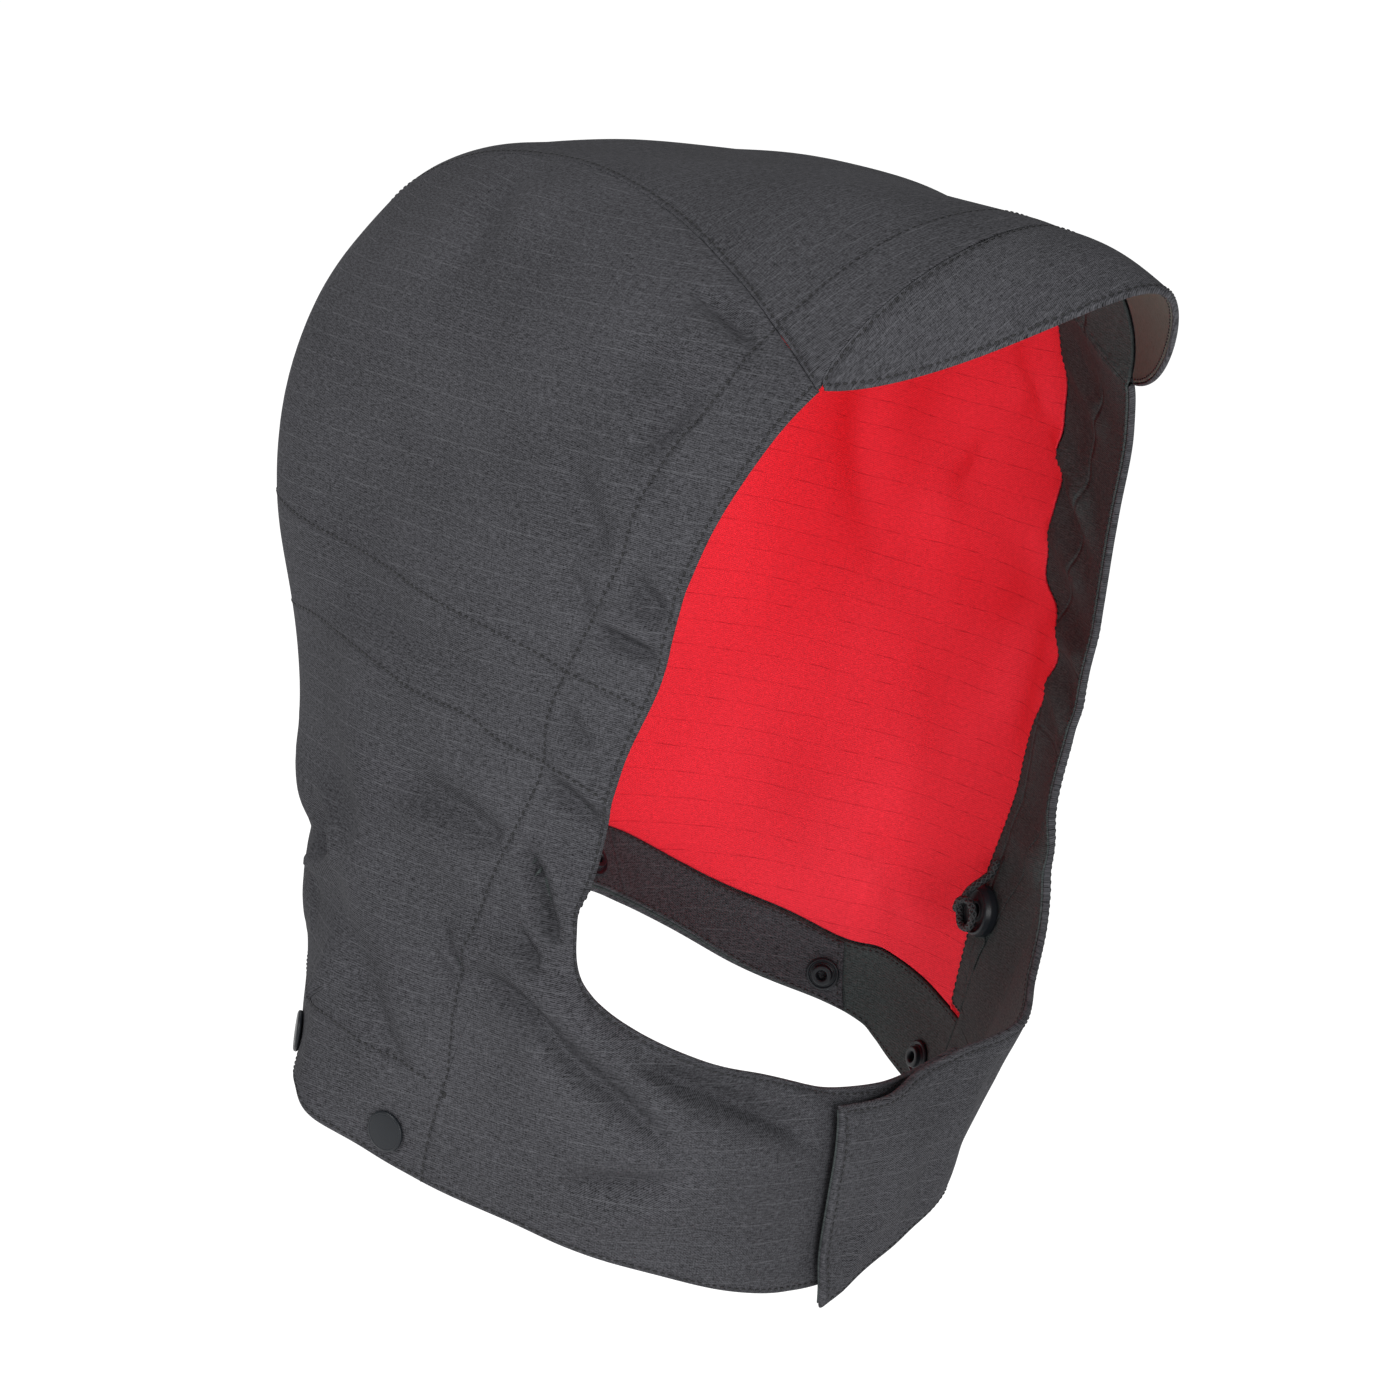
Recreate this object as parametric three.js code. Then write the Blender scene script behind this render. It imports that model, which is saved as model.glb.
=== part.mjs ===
// Detachable work hood, in millimetres, +Z up, the face opening towards -Y, the wearer's right at -X.
// The cloth is worked out in a frame level with the side snaps and then lowered, so that the origin is
// the point inside the crown where the head carries the hood.
import * as THREE from 'three';

// Driving sizes of the hood
const HALF_WIDTH = 130; // middle plane to the widest point over the ears
const HEAD_DEPTH = 150; // side snaps back to the fullest point behind the head
const CROWN_HEIGHT = 320; // side snaps up to the top of the crown
const PEAK_REACH = 69; // peak corners forward to the front of the peak
const PEAK_RISE = 44; // peak corners up to the front of the peak
const PEAK_ROOT_REACH = 17; // peak corners forward to the middle of the peak seam
const PEAK_ROOT_RISE = 55; // peak corners up to the middle of the peak seam
const PEAK_CROWNING = 3; // how far the peak bows up between its seam and its edge

// Cloth and trim
const SHELL_WALL = 1.2;
const LINING_WALL = 1.0;
const STRIP_WALL = 1.0;
const PEAK_WALL = 1.3;
const PATCH_WALL = 1.0;
const LAYER_GAP = 0.8; // slack between the shell and the layer inside it
const SEAM_GAP = 0.5; // between the edges of two pieces that are sewn together
const PEAK_SEAM_GAP = 1.2; // between the peak and the folded front edge of the crown
const SEAT_GAP = 0.3; // between a piece and what it is fixed on
const FLAP_STANDOFF = 6.5; // left chin end outside the right one, over the hook and loop

// Snaps, cord lock and cord
const SNAP_CAP_RADIUS = 7;
const SNAP_CAP_HEIGHT = 1.8;
const SNAP_SOCKET_RADIUS = 6;
const SNAP_SOCKET_HEIGHT = 3.2;
const SNAP_HOLE_RADIUS = 1.8;
const LOCK_RADIUS = 9.3;
const LOCK_HEIGHT = 5;
const LOCK_HOLE_RADIUS = 2.6;
const CORD_RADIUS = 1.4;
const CORD_GAP = 0.4;
const ROUND_SIDES = 12;

const SHELL_COLOUR = 0x4a4a4d;
const LINING_COLOUR = 0xd7262e;
const FACING_COLOUR = 0x47423f;
const UNDERSIDE_COLOUR = 0x7d7975;
const PLASTIC_COLOUR = 0x1b1d20;
const CORD_COLOUR = 0x17181a;
const PATCH_COLOUR = 0x26262a;

// Places round the hood. 0 is the chin, 1 the crown seam of the same side, MIDDLE the middle plane
// over the crown, and the left side runs on from there in the mirrored order.
const CROWN_SEAM = 1;
const MIDDLE = 1.14;
const CHIN_TURN = 0.4; // where the facing line meets the neck band

// Columns of the tables below: around, then out, back and up as shares of
// HALF_WIDTH, HEAD_DEPTH and CROWN_HEIGHT.
const FACE_EDGE = [
  [0.0, 0.0, -0.647, 0.097],
  [0.05, 0.169, -0.607, 0.098],
  [0.1, 0.354, -0.593, 0.116],
  [0.15, 0.538, -0.587, 0.138],
  [0.2, 0.692, -0.507, 0.166],
  [0.25, 0.8, -0.45, 0.206],
  [0.3, 0.827, -0.43, 0.259],
  [0.4, 0.792, -0.443, 0.344],
  [0.5, 0.788, -0.473, 0.431],
  [0.6, 0.75, -0.523, 0.519],
  [0.7, 0.735, -0.547, 0.603],
  [0.8, 0.7, -0.587, 0.684],
  [0.9, 0.635, -0.653, 0.766],
  [1.0, 0.55, -0.7, 0.825],
];
const NECK_HEM = [
  [0.0, 0.0, -0.58, -0.128],
  [0.1, 0.308, -0.573, -0.12],
  [0.2, 0.615, -0.467, -0.094],
  [0.25, 0.708, -0.387, -0.081],
  [0.3, 0.785, -0.293, -0.066],
  [0.4, 0.9, -0.087, -0.047],
  [0.5, 0.969, 0.107, -0.024],
  [0.6, 1.003, 0.207, -0.01],
  [0.7, 0.986, 0.27, 0.006],
  [0.8, 0.923, 0.353, 0.022],
  [0.9, 0.72, 0.5, 0.053],
  [1.0, 0.4, 0.593, 0.12],
  [1.07, 0.2, 0.613, 0.145],
  [1.14, 0.0, 0.62, 0.153],
];
// Each row is one rib, at a quarter, a half and three quarters of the way from the face edge to the hem
const RIBS = [
  [0.0, 0.0, -0.64, 0.041, 0.0, -0.623, -0.016, 0.0, -0.6, -0.072],
  [0.15, 0.554, -0.593, 0.075, 0.554, -0.587, 0.016, 0.523, -0.563, -0.047],
  [0.25, 0.823, -0.453, 0.134, 0.815, -0.44, 0.062, 0.769, -0.413, -0.009],
  [0.4, 0.877, -0.32, 0.256, 0.908, -0.207, 0.156, 0.915, -0.133, 0.05],
  [0.6, 0.915, -0.187, 0.45, 0.969, 0.053, 0.319, 0.985, 0.167, 0.15],
  [0.8, 0.869, -0.133, 0.706, 0.931, 0.32, 0.55, 0.885, 0.38, 0.266],
  [0.9, 0.762, -0.027, 0.869, 0.828, 0.717, 0.728, 0.76, 0.658, 0.399],
  [1.0, 0.508, 0.1, 0.981, 0.495, 0.817, 0.884, 0.431, 0.953, 0.525],
  [1.07, 0.262, 0.115, 0.993, 0.256, 0.838, 0.913, 0.231, 0.997, 0.542],
  [1.14, 0.0, 0.12, 0.995, 0.0, 0.847, 0.919, 0.0, 1.013, 0.547],
];
// Left chin end. Columns: around, length of the chin (share of the rib), height off the shell
// (share of FLAP_STANDOFF)
const LEFT_CHIN = [
  [-0.06, 1.1, 1.0],
  [-0.03, 1.08, 1.0],
  [0.0, 1.0, 1.0],
  [0.05, 0.86, 1.0],
  [0.1, 0.72, 0.95],
  [0.15, 0.74, 0.77],
  [0.2, 0.8, 0.46],
  [0.25, 0.86, 0.18],
  [0.3, 0.92, 0.05],
  [0.4, 0.99, 0.0],
  [0.5, 1.0, 0.0],
  [0.6, 1.0, 0.0],
  [1.14, 1.0, 0.0],
];
// Right chin end. Columns: around, length of the chin (share of its full length)
const RIGHT_CHIN = [
  [-0.1, 0.66],
  [-0.05, 0.8],
  [0.0, 0.97],
  [0.05, 1.0],
  [0.1, 1.0],
  [1.14, 1.0],
];
// The closed lap pulls the left chin and the end beneath it in. Columns: around on the left,
// inwards (share of HALF_WIDTH), backwards (share of HEAD_DEPTH)
const CHIN_PULL = [
  [0.0, 0.0, 0.0],
  [0.05, 0.002, 0.02],
  [0.1, 0.011, 0.057],
  [0.15, 0.078, 0.089],
  [0.2, 0.124, 0.084],
  [0.25, 0.112, 0.058],
  [0.3, 0.065, 0.027],
  [0.35, 0.025, 0.008],
  [0.4, 0.004, 0.001],
  [0.45, 0.0, 0.0],
];
const PULL_END = 0.6; // share of the rib at which the pull is full
// Two sewn lines on the cloth. Columns: around, down (share of the way from face edge to hem)
const FACING_LINE = [
  [0.4, 0.64],
  [0.43, 0.48],
  [0.46, 0.34],
  [0.5, 0.21],
  [0.6, 0.15],
  [0.7, 0.095],
  [0.8, 0.08],
  [0.9, 0.055],
  [1.0, 0.045],
  [1.14, 0.036],
];
const BAND_LINE = [
  [0.4, 0.72],
  [0.5, 0.775],
  [0.6, 0.83],
  [0.7, 0.87],
  [0.8, 0.905],
  [0.9, 0.94],
  [1.0, 0.955],
  [1.14, 0.955],
];
const SNAPS = [
  { around: 0.45, down: 0.915, onStrip: false },
  { around: 0.79, down: 0.957, onStrip: true },
  { around: 1.04, down: 0.984, onStrip: true },
];
const STRIP_END = 0.745; // where the strip under the rear snaps stops, on both sides
const LOCK = { around: 0.43, down: 0.465 };
const SLIT = { around: 0.45, down: 0.36 };

// Cubic through the rows of a table, its slopes those of the parabola through three neighbours
function slopes(rows) {
  const step = rows.slice(1).map((row, i) => row[0] - rows[i][0]);
  const rise = rows.slice(1).map((row, i) => row.map((value, c) => (value - rows[i][c]) / step[i]));
  const inner = rows.map((row, i) => {
    if (i === 0 || i === rows.length - 1) return null;
    const total = step[i - 1] + step[i];
    return row.map((_, c) => (rise[i - 1][c] * step[i] + rise[i][c] * step[i - 1]) / total);
  });
  const last = rows.length - 1;
  inner[0] = rise[0].map((value, c) => 2 * value - inner[1][c]);
  inner[last] = rise[last - 1].map((value, c) => 2 * value - inner[last - 1][c]);
  return inner;
}

function spline(rows) {
  const slope = slopes(rows);
  return (place) => {
    let i = rows.length - 2;
    while (i > 0 && rows[i][0] > place) i -= 1;
    const step = rows[i + 1][0] - rows[i][0];
    const t = (place - rows[i][0]) / step;
    const a = (1 + 2 * t) * (1 - t) ** 2;
    const b = t * (1 - t) ** 2 * step;
    const c = t * t * (3 - 2 * t);
    const d = t * t * (t - 1) * step;
    return rows[i].slice(1).map((value, k) => {
      const from = a * value + b * slope[i][k + 1];
      return from + c * rows[i + 1][k + 1] + d * slope[i + 1][k + 1];
    });
  };
}

// Rows mirrored at the chin and over the crown, so that the cloth crosses the middle plane squarely
function mirrored(rows, place, sign) {
  const outward = [1, 4, 7];
  return [place, ...rows.slice(1).map((value, c) => (outward.includes(c + 1) ? sign * value : value))];
}

function wrapped(rows, overCrown) {
  const atChin = rows.slice(1, 4).reverse().map((row) => mirrored(row, -row[0], -1));
  const atCrown = rows.slice(-4, -1).reverse().map((row) => mirrored(row, 2 * MIDDLE - row[0], -1));
  return [...atChin, ...rows, ...(overCrown ? atCrown : [])];
}

const faceEdge = spline(wrapped(FACE_EDGE, false));
const neckHem = spline(wrapped(NECK_HEM, true));
const ribs = spline(wrapped(RIBS, true));
const leftChin = spline(LEFT_CHIN);
const rightChin = spline(RIGHT_CHIN);
const chinPull = spline(CHIN_PULL);
const facingLine = spline(FACING_LINE);
const bandLine = spline(BAND_LINE);

const SIZES = [HALF_WIDTH, HEAD_DEPTH, CROWN_HEIGHT];
const toSize = (shares) => shares.map((share, i) => share * SIZES[i % 3]);
const CORNER = toSize(FACE_EDGE[FACE_EDGE.length - 1].slice(1));

// The peak's seam and edge are arches: turn 0 is the right corner, a quarter turn the middle
const SEAM_POWER = 1.2;
const EDGE_FORE_POWER = 1.53;
const EDGE_RISE_POWER = 2.5;
const EDGE_PINCH = 0.3;

function peakSeam(turn) {
  const sine = Math.abs(Math.sin(turn)) ** SEAM_POWER;
  const cosine = Math.cos(turn);
  return [
    CORNER[0] * Math.sign(cosine) * Math.abs(cosine) ** SEAM_POWER,
    CORNER[1] - PEAK_ROOT_REACH * sine,
    CORNER[2] + PEAK_ROOT_RISE * sine,
  ];
}

function peakEdge(turn) {
  const sine = Math.sin(turn);
  return [
    CORNER[0] * Math.cos(turn) * (1 - EDGE_PINCH * sine * sine),
    CORNER[1] - PEAK_REACH * sine ** EDGE_FORE_POWER,
    CORNER[2] + PEAK_RISE * sine ** EDGE_RISE_POWER,
  ];
}

// One rib of the right side as five points from face edge to hem, read at a share of the way down
const RIB_PLACES = [0, 0.25, 0.5, 0.75, 1];

function rightSide(around, down) {
  const turn = ((around - CROWN_SEAM) / (MIDDLE - CROWN_SEAM)) * (Math.PI / 2);
  const front = around > CROWN_SEAM ? peakSeam(turn) : toSize(faceEdge(around));
  const inner = toSize(ribs(around));
  const points = [front, inner.slice(0, 3), inner.slice(3, 6), inner.slice(6, 9), toSize(neckHem(around))];
  return spline(points.map((point, i) => [RIB_PLACES[i], ...point]))(down);
}

function shellPoint(around, down) {
  const onLeft = around > MIDDLE;
  const place = onLeft ? 2 * MIDDLE - around : around;
  const [out, back, up] = rightSide(Math.abs(place), down);
  const side = onLeft !== place < 0 ? 1 : -1;
  return new THREE.Vector3(side * out, back, up);
}

const STEP = 0.002;

function shellNormal(around, down) {
  const at = Math.min(Math.max(down, STEP), 1 - STEP);
  const along = shellPoint(around + STEP, at).sub(shellPoint(around - STEP, at));
  const across = shellPoint(around, at + STEP).sub(shellPoint(around, at - STEP));
  return along.cross(across).normalize();
}

// Moves a point by the pull of the lap, which grows from the face edge down
function pullIn(point, around, reach) {
  if (around <= CHIN_PULL[0][0] || around >= CHIN_PULL[CHIN_PULL.length - 1][0]) return point;
  const [inwards, backwards] = chinPull(around);
  const share = Math.sin((Math.PI / 2) * Math.min(reach / PULL_END, 1));
  point.x -= inwards * HALF_WIDTH * share;
  point.y += backwards * HEAD_DEPTH * share;
  return point;
}

// Outer face of the cloth, on the right or on the left with its chin end
function rightFace(around, down) {
  const reach = down * rightChin(around)[0];
  return pullIn(shellPoint(around, reach), -around, reach);
}

function leftFace(around, down) {
  const [length, standoff] = leftChin(around);
  const place = 2 * MIDDLE - around;
  const reach = down * length;
  const point = shellPoint(place, reach);
  point.addScaledVector(shellNormal(place, reach), standoff * FLAP_STANDOFF);
  return pullIn(point, around, reach);
}

// Outward direction of a face. The two sides run round the hood in opposite ways
function outward(face, around, down) {
  const at = THREE.MathUtils.clamp(down, STEP, 1 - STEP);
  const along = face(around + STEP, at).sub(face(around - STEP, at));
  const across = face(around, at + STEP).sub(face(around, at - STEP));
  const normal = along.cross(across).normalize();
  return face === leftFace ? normal.negate() : normal;
}

// Cloth at a depth inside the outer face
function rightCloth(around, down, depth) {
  return rightFace(around, down).addScaledVector(outward(rightFace, around, down), -depth);
}

function leftCloth(around, down, depth) {
  return leftFace(around, down).addScaledVector(outward(leftFace, around, down), -depth);
}

function wholeCloth(around, down, depth) {
  if (around > MIDDLE) return leftCloth(2 * MIDDLE - around, down, depth);
  return rightCloth(around, down, depth);
}

// Places round the hood at which every layer has its points, so that the layers nest
const CHIN_PLACES = [0, 0.05, 0.1, 0.15, 0.19, 0.23, 0.27, 0.31, 0.355];
const SIDE_PLACES = [0.4, 0.43, 0.46, 0.5, 0.55, 0.61, 0.67, 0.73, 0.79, 0.84, 0.89, 0.945, 1];
const CENTRE_STEPS = 3;
const FACING_ROWS = 2;
const BODY_ROWS = 12;
const BAND_ROWS = 2;
const ROWS = FACING_ROWS + BODY_ROWS + BAND_ROWS;
const BAND_START = FACING_ROWS + BODY_ROWS;

function rowPlace(around, row) {
  const clear = Math.max(around, CHIN_TURN);
  const facing = facingLine(clear)[0];
  const band = bandLine(clear)[0];
  let sewn;
  if (row <= FACING_ROWS) sewn = (facing * row) / FACING_ROWS;
  else if (row <= BAND_START) sewn = facing + ((band - facing) * (row - FACING_ROWS)) / BODY_ROWS;
  else sewn = band + ((1 - band) * (row - BAND_START)) / BAND_ROWS;
  const even = row / ROWS;
  const blend = THREE.MathUtils.smoothstep(around, CHIN_PLACES[6], CHIN_TURN);
  return even + (sewn - even) * blend;
}

// How much of "around" or "down" a real length takes near one place
function lengthAround(length, around, down) {
  return (length * 2 * STEP) / shellPoint(around + STEP, down).distanceTo(shellPoint(around - STEP, down));
}

function lengthDown(length, around, down) {
  const at = Math.min(Math.max(down, STEP), 1 - STEP);
  return (length * 2 * STEP) / shellPoint(around, at + STEP).distanceTo(shellPoint(around, at - STEP));
}

// A closed solid from a grid of cells: outer and inner faces over the cells kept, walls round their rim.
// Every face splits its cells along the same diagonal, or the other one if leftHanded, so layers nest.
function clothSolid(columns, rows, outerPoint, innerPoint, keep = () => true, leftHanded = false) {
  const positions = [];
  const index = [];
  const names = new Map();
  const vertex = (i, j, inner) => {
    const name = `${i},${j},${inner}`;
    if (!names.has(name)) {
      names.set(name, positions.length / 3);
      const point = inner ? innerPoint(i, j) : outerPoint(i, j);
      positions.push(point.x, point.y, point.z);
    }
    return names.get(name);
  };
  const kept = (i, j) => i >= 0 && j >= 0 && i < columns && j < rows && keep(i, j);
  const quad = (a, b, c, d) => index.push(a, b, c, a, c, d);
  const wall = (i, j, k, l) => {
    quad(vertex(i, j, false), vertex(i, j, true), vertex(k, l, true), vertex(k, l, false));
  };
  for (let i = 0; i < columns; i += 1) {
    for (let j = 0; j < rows; j += 1) {
      if (!kept(i, j)) continue;
      const corners = [[i, j], [i + 1, j], [i + 1, j + 1], [i, j + 1]];
      if (leftHanded) corners.push(corners.shift());
      const [first, second, third, fourth] = corners;
      quad(...corners.map(([p, q]) => vertex(p, q, false)));
      quad(...[first, fourth, third, second].map(([p, q]) => vertex(p, q, true)));
      if (!kept(i, j - 1)) wall(i, j, i + 1, j);
      if (!kept(i + 1, j)) wall(i + 1, j, i + 1, j + 1);
      if (!kept(i, j + 1)) wall(i + 1, j + 1, i, j + 1);
      if (!kept(i - 1, j)) wall(i, j + 1, i, j);
    }
  }
  return facingOut(positions, index);
}

// Turns the faces round if they point into the solid
function facingOut(positions, index) {
  let volume = 0;
  const corner = (k) => new THREE.Vector3().fromArray(positions, 3 * k);
  for (let t = 0; t < index.length; t += 3) {
    volume += corner(index[t]).dot(corner(index[t + 1]).cross(corner(index[t + 2])));
  }
  if (volume < 0) index.reverse();
  const geometry = new THREE.BufferGeometry();
  geometry.setAttribute('position', new THREE.Float32BufferAttribute(positions, 3));
  geometry.setIndex(index);
  return geometry;
}

const hood = new THREE.Group();

function add(name, geometry, color, roughness = 0.9) {
  geometry.computeVertexNormals();
  const mesh = new THREE.Mesh(geometry, new THREE.MeshStandardMaterial({ color, roughness, metalness: 0 }));
  mesh.name = name;
  hood.add(mesh);
  return mesh;
}

// Shell panels
const shellFace = { outer: 0, inner: SHELL_WALL };
const liningFace = { outer: SHELL_WALL + LAYER_GAP, inner: SHELL_WALL + LAYER_GAP + LINING_WALL };
const stripFace = { outer: liningFace.inner + SEAT_GAP * 2, inner: liningFace.inner + SEAT_GAP * 2 + STRIP_WALL };

const HIDDEN_CHIN_PLACES = [-0.1, -0.05]; // the right chin end runs on under the flap
const FLAP_EDGE_TOP = -0.04;
const FLAP_EDGE_TIP = -0.02;

// A place on the grid of one side, given by its column and row, held back from the crown seam
function sideGrid(places, edgeAtTop, edgeAtTip) {
  return (i, j) => {
    const row = rowPlace(places[i], j);
    let around = places[i];
    if (i === 0) around = edgeAtTop + (edgeAtTip - edgeAtTop) * row;
    if (i === places.length - 1) around -= lengthAround(SEAM_GAP / 2, around, row);
    return [around, row];
  };
}

const rightPlaces = [...HIDDEN_CHIN_PLACES, ...CHIN_PLACES, ...SIDE_PLACES];
const leftPlaces = [FLAP_EDGE_TOP, ...CHIN_PLACES, ...SIDE_PLACES];
const SIDES = [
  { name: 'right', places: rightPlaces, cloth: rightCloth, edge: [rightPlaces[0], rightPlaces[0]] },
  { name: 'left', places: leftPlaces, cloth: leftCloth, edge: [FLAP_EDGE_TOP, FLAP_EDGE_TIP] },
];

for (const { name, places, cloth, edge } of SIDES) {
  const grid = sideGrid(places, ...edge);
  const panel = clothSolid(
    places.length - 1,
    ROWS,
    (i, j) => cloth(...grid(i, j), shellFace.outer),
    (i, j) => cloth(...grid(i, j), shellFace.inner),
    () => true,
    cloth === leftCloth,
  );
  add(`side_panel_${name}`, panel, SHELL_COLOUR);
}

const centrePlaces = [];
for (let i = 0; i <= 2 * CENTRE_STEPS; i += 1) {
  centrePlaces.push(CROWN_SEAM + ((MIDDLE - CROWN_SEAM) * i) / CENTRE_STEPS);
}

function centreGrid(i, j) {
  const place = centrePlaces[i];
  const row = rowPlace(Math.min(place, 2 * MIDDLE - place), j);
  const back = i === 0 ? 1 : i === centrePlaces.length - 1 ? -1 : 0;
  return [place + back * lengthAround(SEAM_GAP / 2, CROWN_SEAM, row), row];
}

add(
  'centre_panel',
  clothSolid(
    centrePlaces.length - 1,
    ROWS,
    (i, j) => wholeCloth(...centreGrid(i, j), shellFace.outer),
    (i, j) => wholeCloth(...centreGrid(i, j), shellFace.inner),
  ),
  SHELL_COLOUR,
);

// Facing inside the face opening: a strip beside the face edge, and the whole of the chin
for (const { name, places, cloth, edge } of SIDES) {
  const grid = sideGrid(places, ...edge);
  const turn = places.indexOf(CHIN_TURN);
  const inset = (i, j) => {
    let [around, down] = grid(i, j);
    if (i >= turn && j === FACING_ROWS) down -= lengthDown(SEAM_GAP / 2, around, down);
    if (i === turn && j >= FACING_ROWS) around -= lengthAround(SEAM_GAP / 2, around, down);
    return [around, down];
  };
  const facing = clothSolid(
    places.length - 1,
    ROWS,
    (i, j) => cloth(...inset(i, j), liningFace.outer),
    (i, j) => cloth(...inset(i, j), liningFace.inner),
    (i, j) => i < turn || j < FACING_ROWS,
    cloth === leftCloth,
  );
  add(`facing_${name}`, facing, FACING_COLOUR);
}

function topFacingGrid(i, j) {
  const [around, down] = centreGrid(i, j);
  return [around, j === FACING_ROWS ? down - lengthDown(SEAM_GAP / 2, around, down) : down];
}

add(
  'facing_top',
  clothSolid(
    centrePlaces.length - 1,
    FACING_ROWS,
    (i, j) => wholeCloth(...topFacingGrid(i, j), liningFace.outer),
    (i, j) => wholeCloth(...topFacingGrid(i, j), liningFace.inner),
  ),
  FACING_COLOUR,
);

// Lining and neck facing run from one facing over the back to the other
const acrossPlaces = [
  ...SIDE_PLACES,
  ...centrePlaces.slice(1, -1),
  ...[...SIDE_PLACES].reverse().map((place) => 2 * MIDDLE - place),
];

function acrossGrid(i, row) {
  const place = acrossPlaces[i];
  const down = rowPlace(Math.min(place, 2 * MIDDLE - place), row);
  const back = i === 0 ? 1 : i === acrossPlaces.length - 1 ? -1 : 0;
  return [place + back * lengthAround(SEAM_GAP / 2, CHIN_TURN, down), down];
}

function liningGrid(i, j) {
  const [around, down] = acrossGrid(i, j + FACING_ROWS);
  const edge = j === 0 ? 1 : j === BODY_ROWS ? -1 : 0;
  return [around, down + edge * lengthDown(SEAM_GAP / 2, around, down)];
}

add(
  'lining',
  clothSolid(
    acrossPlaces.length - 1,
    BODY_ROWS,
    (i, j) => wholeCloth(...liningGrid(i, j), liningFace.outer),
    (i, j) => wholeCloth(...liningGrid(i, j), liningFace.inner),
  ),
  LINING_COLOUR,
);

function neckGrid(i, j) {
  const [around, down] = acrossGrid(i, j + BAND_START);
  return [around, j === 0 ? down + lengthDown(SEAM_GAP / 2, around, down) : down];
}

add(
  'neck_facing',
  clothSolid(
    acrossPlaces.length - 1,
    BAND_ROWS,
    (i, j) => wholeCloth(...neckGrid(i, j), liningFace.outer),
    (i, j) => wholeCloth(...neckGrid(i, j), liningFace.inner),
  ),
  FACING_COLOUR,
);

// Strip under the rear snaps, on the neck facing
const STRIP_MARGIN = 0.04; // share of the band left bare above and below the strip
const behindEnd = acrossPlaces.filter((place) => place > STRIP_END && place < 2 * MIDDLE - STRIP_END);
const stripPlaces = [STRIP_END, ...behindEnd, 2 * MIDDLE - STRIP_END];

function stripGrid(i, j) {
  const place = stripPlaces[i];
  const share = STRIP_MARGIN + ((1 - 2 * STRIP_MARGIN) * j) / BAND_ROWS;
  return [place, rowPlace(Math.min(place, 2 * MIDDLE - place), BAND_START + BAND_ROWS * share)];
}

add(
  'snap_strip',
  clothSolid(
    stripPlaces.length - 1,
    BAND_ROWS,
    (i, j) => wholeCloth(...stripGrid(i, j), stripFace.outer),
    (i, j) => wholeCloth(...stripGrid(i, j), stripFace.inner),
  ),
  SHELL_COLOUR,
);

// Hook and loop between the two chin ends, on the places and rows of the cloth that they are sewn to
const loopPatch = { places: [...HIDDEN_CHIN_PLACES, CHIN_PLACES[0]], top: 3, foot: 13 };
const hookPatch = { places: CHIN_PLACES.slice(0, 2), top: 3, foot: 12 };
const PATCH_MARGIN = 2; // bare cloth round a patch

function patchSolid(patch, cloth, outer, inner) {
  const last = patch.places.length - 1;
  const spot = (i, j) => {
    const down = rowPlace(patch.places[i], patch.top + j);
    const back = i === 0 ? 1 : i === last ? -1 : 0;
    return [patch.places[i] + back * lengthAround(PATCH_MARGIN, patch.places[i], down), down];
  };
  return clothSolid(
    last,
    patch.foot - patch.top,
    (i, j) => cloth(...spot(i, j), outer),
    (i, j) => cloth(...spot(i, j), inner),
    () => true,
    cloth === leftCloth,
  );
}

const loopTop = -(SEAT_GAP + PATCH_WALL);
const hookTop = liningFace.inner + SEAT_GAP;
add('loop_patch', patchSolid(loopPatch, rightCloth, loopTop, -SEAT_GAP), PATCH_COLOUR);
add('hook_patch', patchSolid(hookPatch, leftCloth, hookTop, hookTop + PATCH_WALL), PATCH_COLOUR);

// Peak: cloth between its seam and its edge, bowed up, in two layers
const PEAK_COLUMNS = 16;
const PEAK_ROWS = 4;
const PEAK_TUCK = 0.1; // turn at which the peak's pointed ends stop

function peakPoint(i, j, holdBack) {
  const turn = PEAK_TUCK + ((Math.PI - 2 * PEAK_TUCK) * i) / PEAK_COLUMNS;
  const [seamOut, seamBack, seamUp] = peakSeam(turn);
  const [edgeOut, edgeBack, edgeUp] = peakEdge(turn);
  const seam = new THREE.Vector3(-seamOut, seamBack, seamUp);
  const edge = new THREE.Vector3(-edgeOut, edgeBack, edgeUp);
  const start = holdBack / seam.distanceTo(edge);
  const share = start + ((1 - start) * j) / PEAK_ROWS;
  const point = seam.lerp(edge, share);
  point.z += PEAK_CROWNING * Math.sin(Math.PI * share) * Math.sin(turn);
  return point;
}

function peakAt(i, j, depth, holdBack) {
  const along = peakPoint(i + STEP, j, holdBack).sub(peakPoint(i - STEP, j, holdBack));
  const across = peakPoint(i, j + STEP, holdBack).sub(peakPoint(i, j - STEP, holdBack));
  return peakPoint(i, j, holdBack).addScaledVector(across.cross(along).normalize(), -depth);
}

const peakLayers = [
  { name: 'peak', outer: 0, inner: PEAK_WALL, colour: SHELL_COLOUR, holdBack: PEAK_SEAM_GAP },
  {
    name: 'peak_underside',
    outer: PEAK_WALL + SEAT_GAP,
    inner: PEAK_WALL + SEAT_GAP + LINING_WALL,
    colour: UNDERSIDE_COLOUR,
    holdBack: PEAK_SEAM_GAP + LINING_WALL,
  },
];
for (const { name, outer, inner, colour, holdBack } of peakLayers) {
  const layer = clothSolid(
    PEAK_COLUMNS,
    PEAK_ROWS,
    (i, j) => peakAt(i, j, outer, holdBack),
    (i, j) => peakAt(i, j, inner, holdBack),
  );
  add(name, layer, colour);
}

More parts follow.
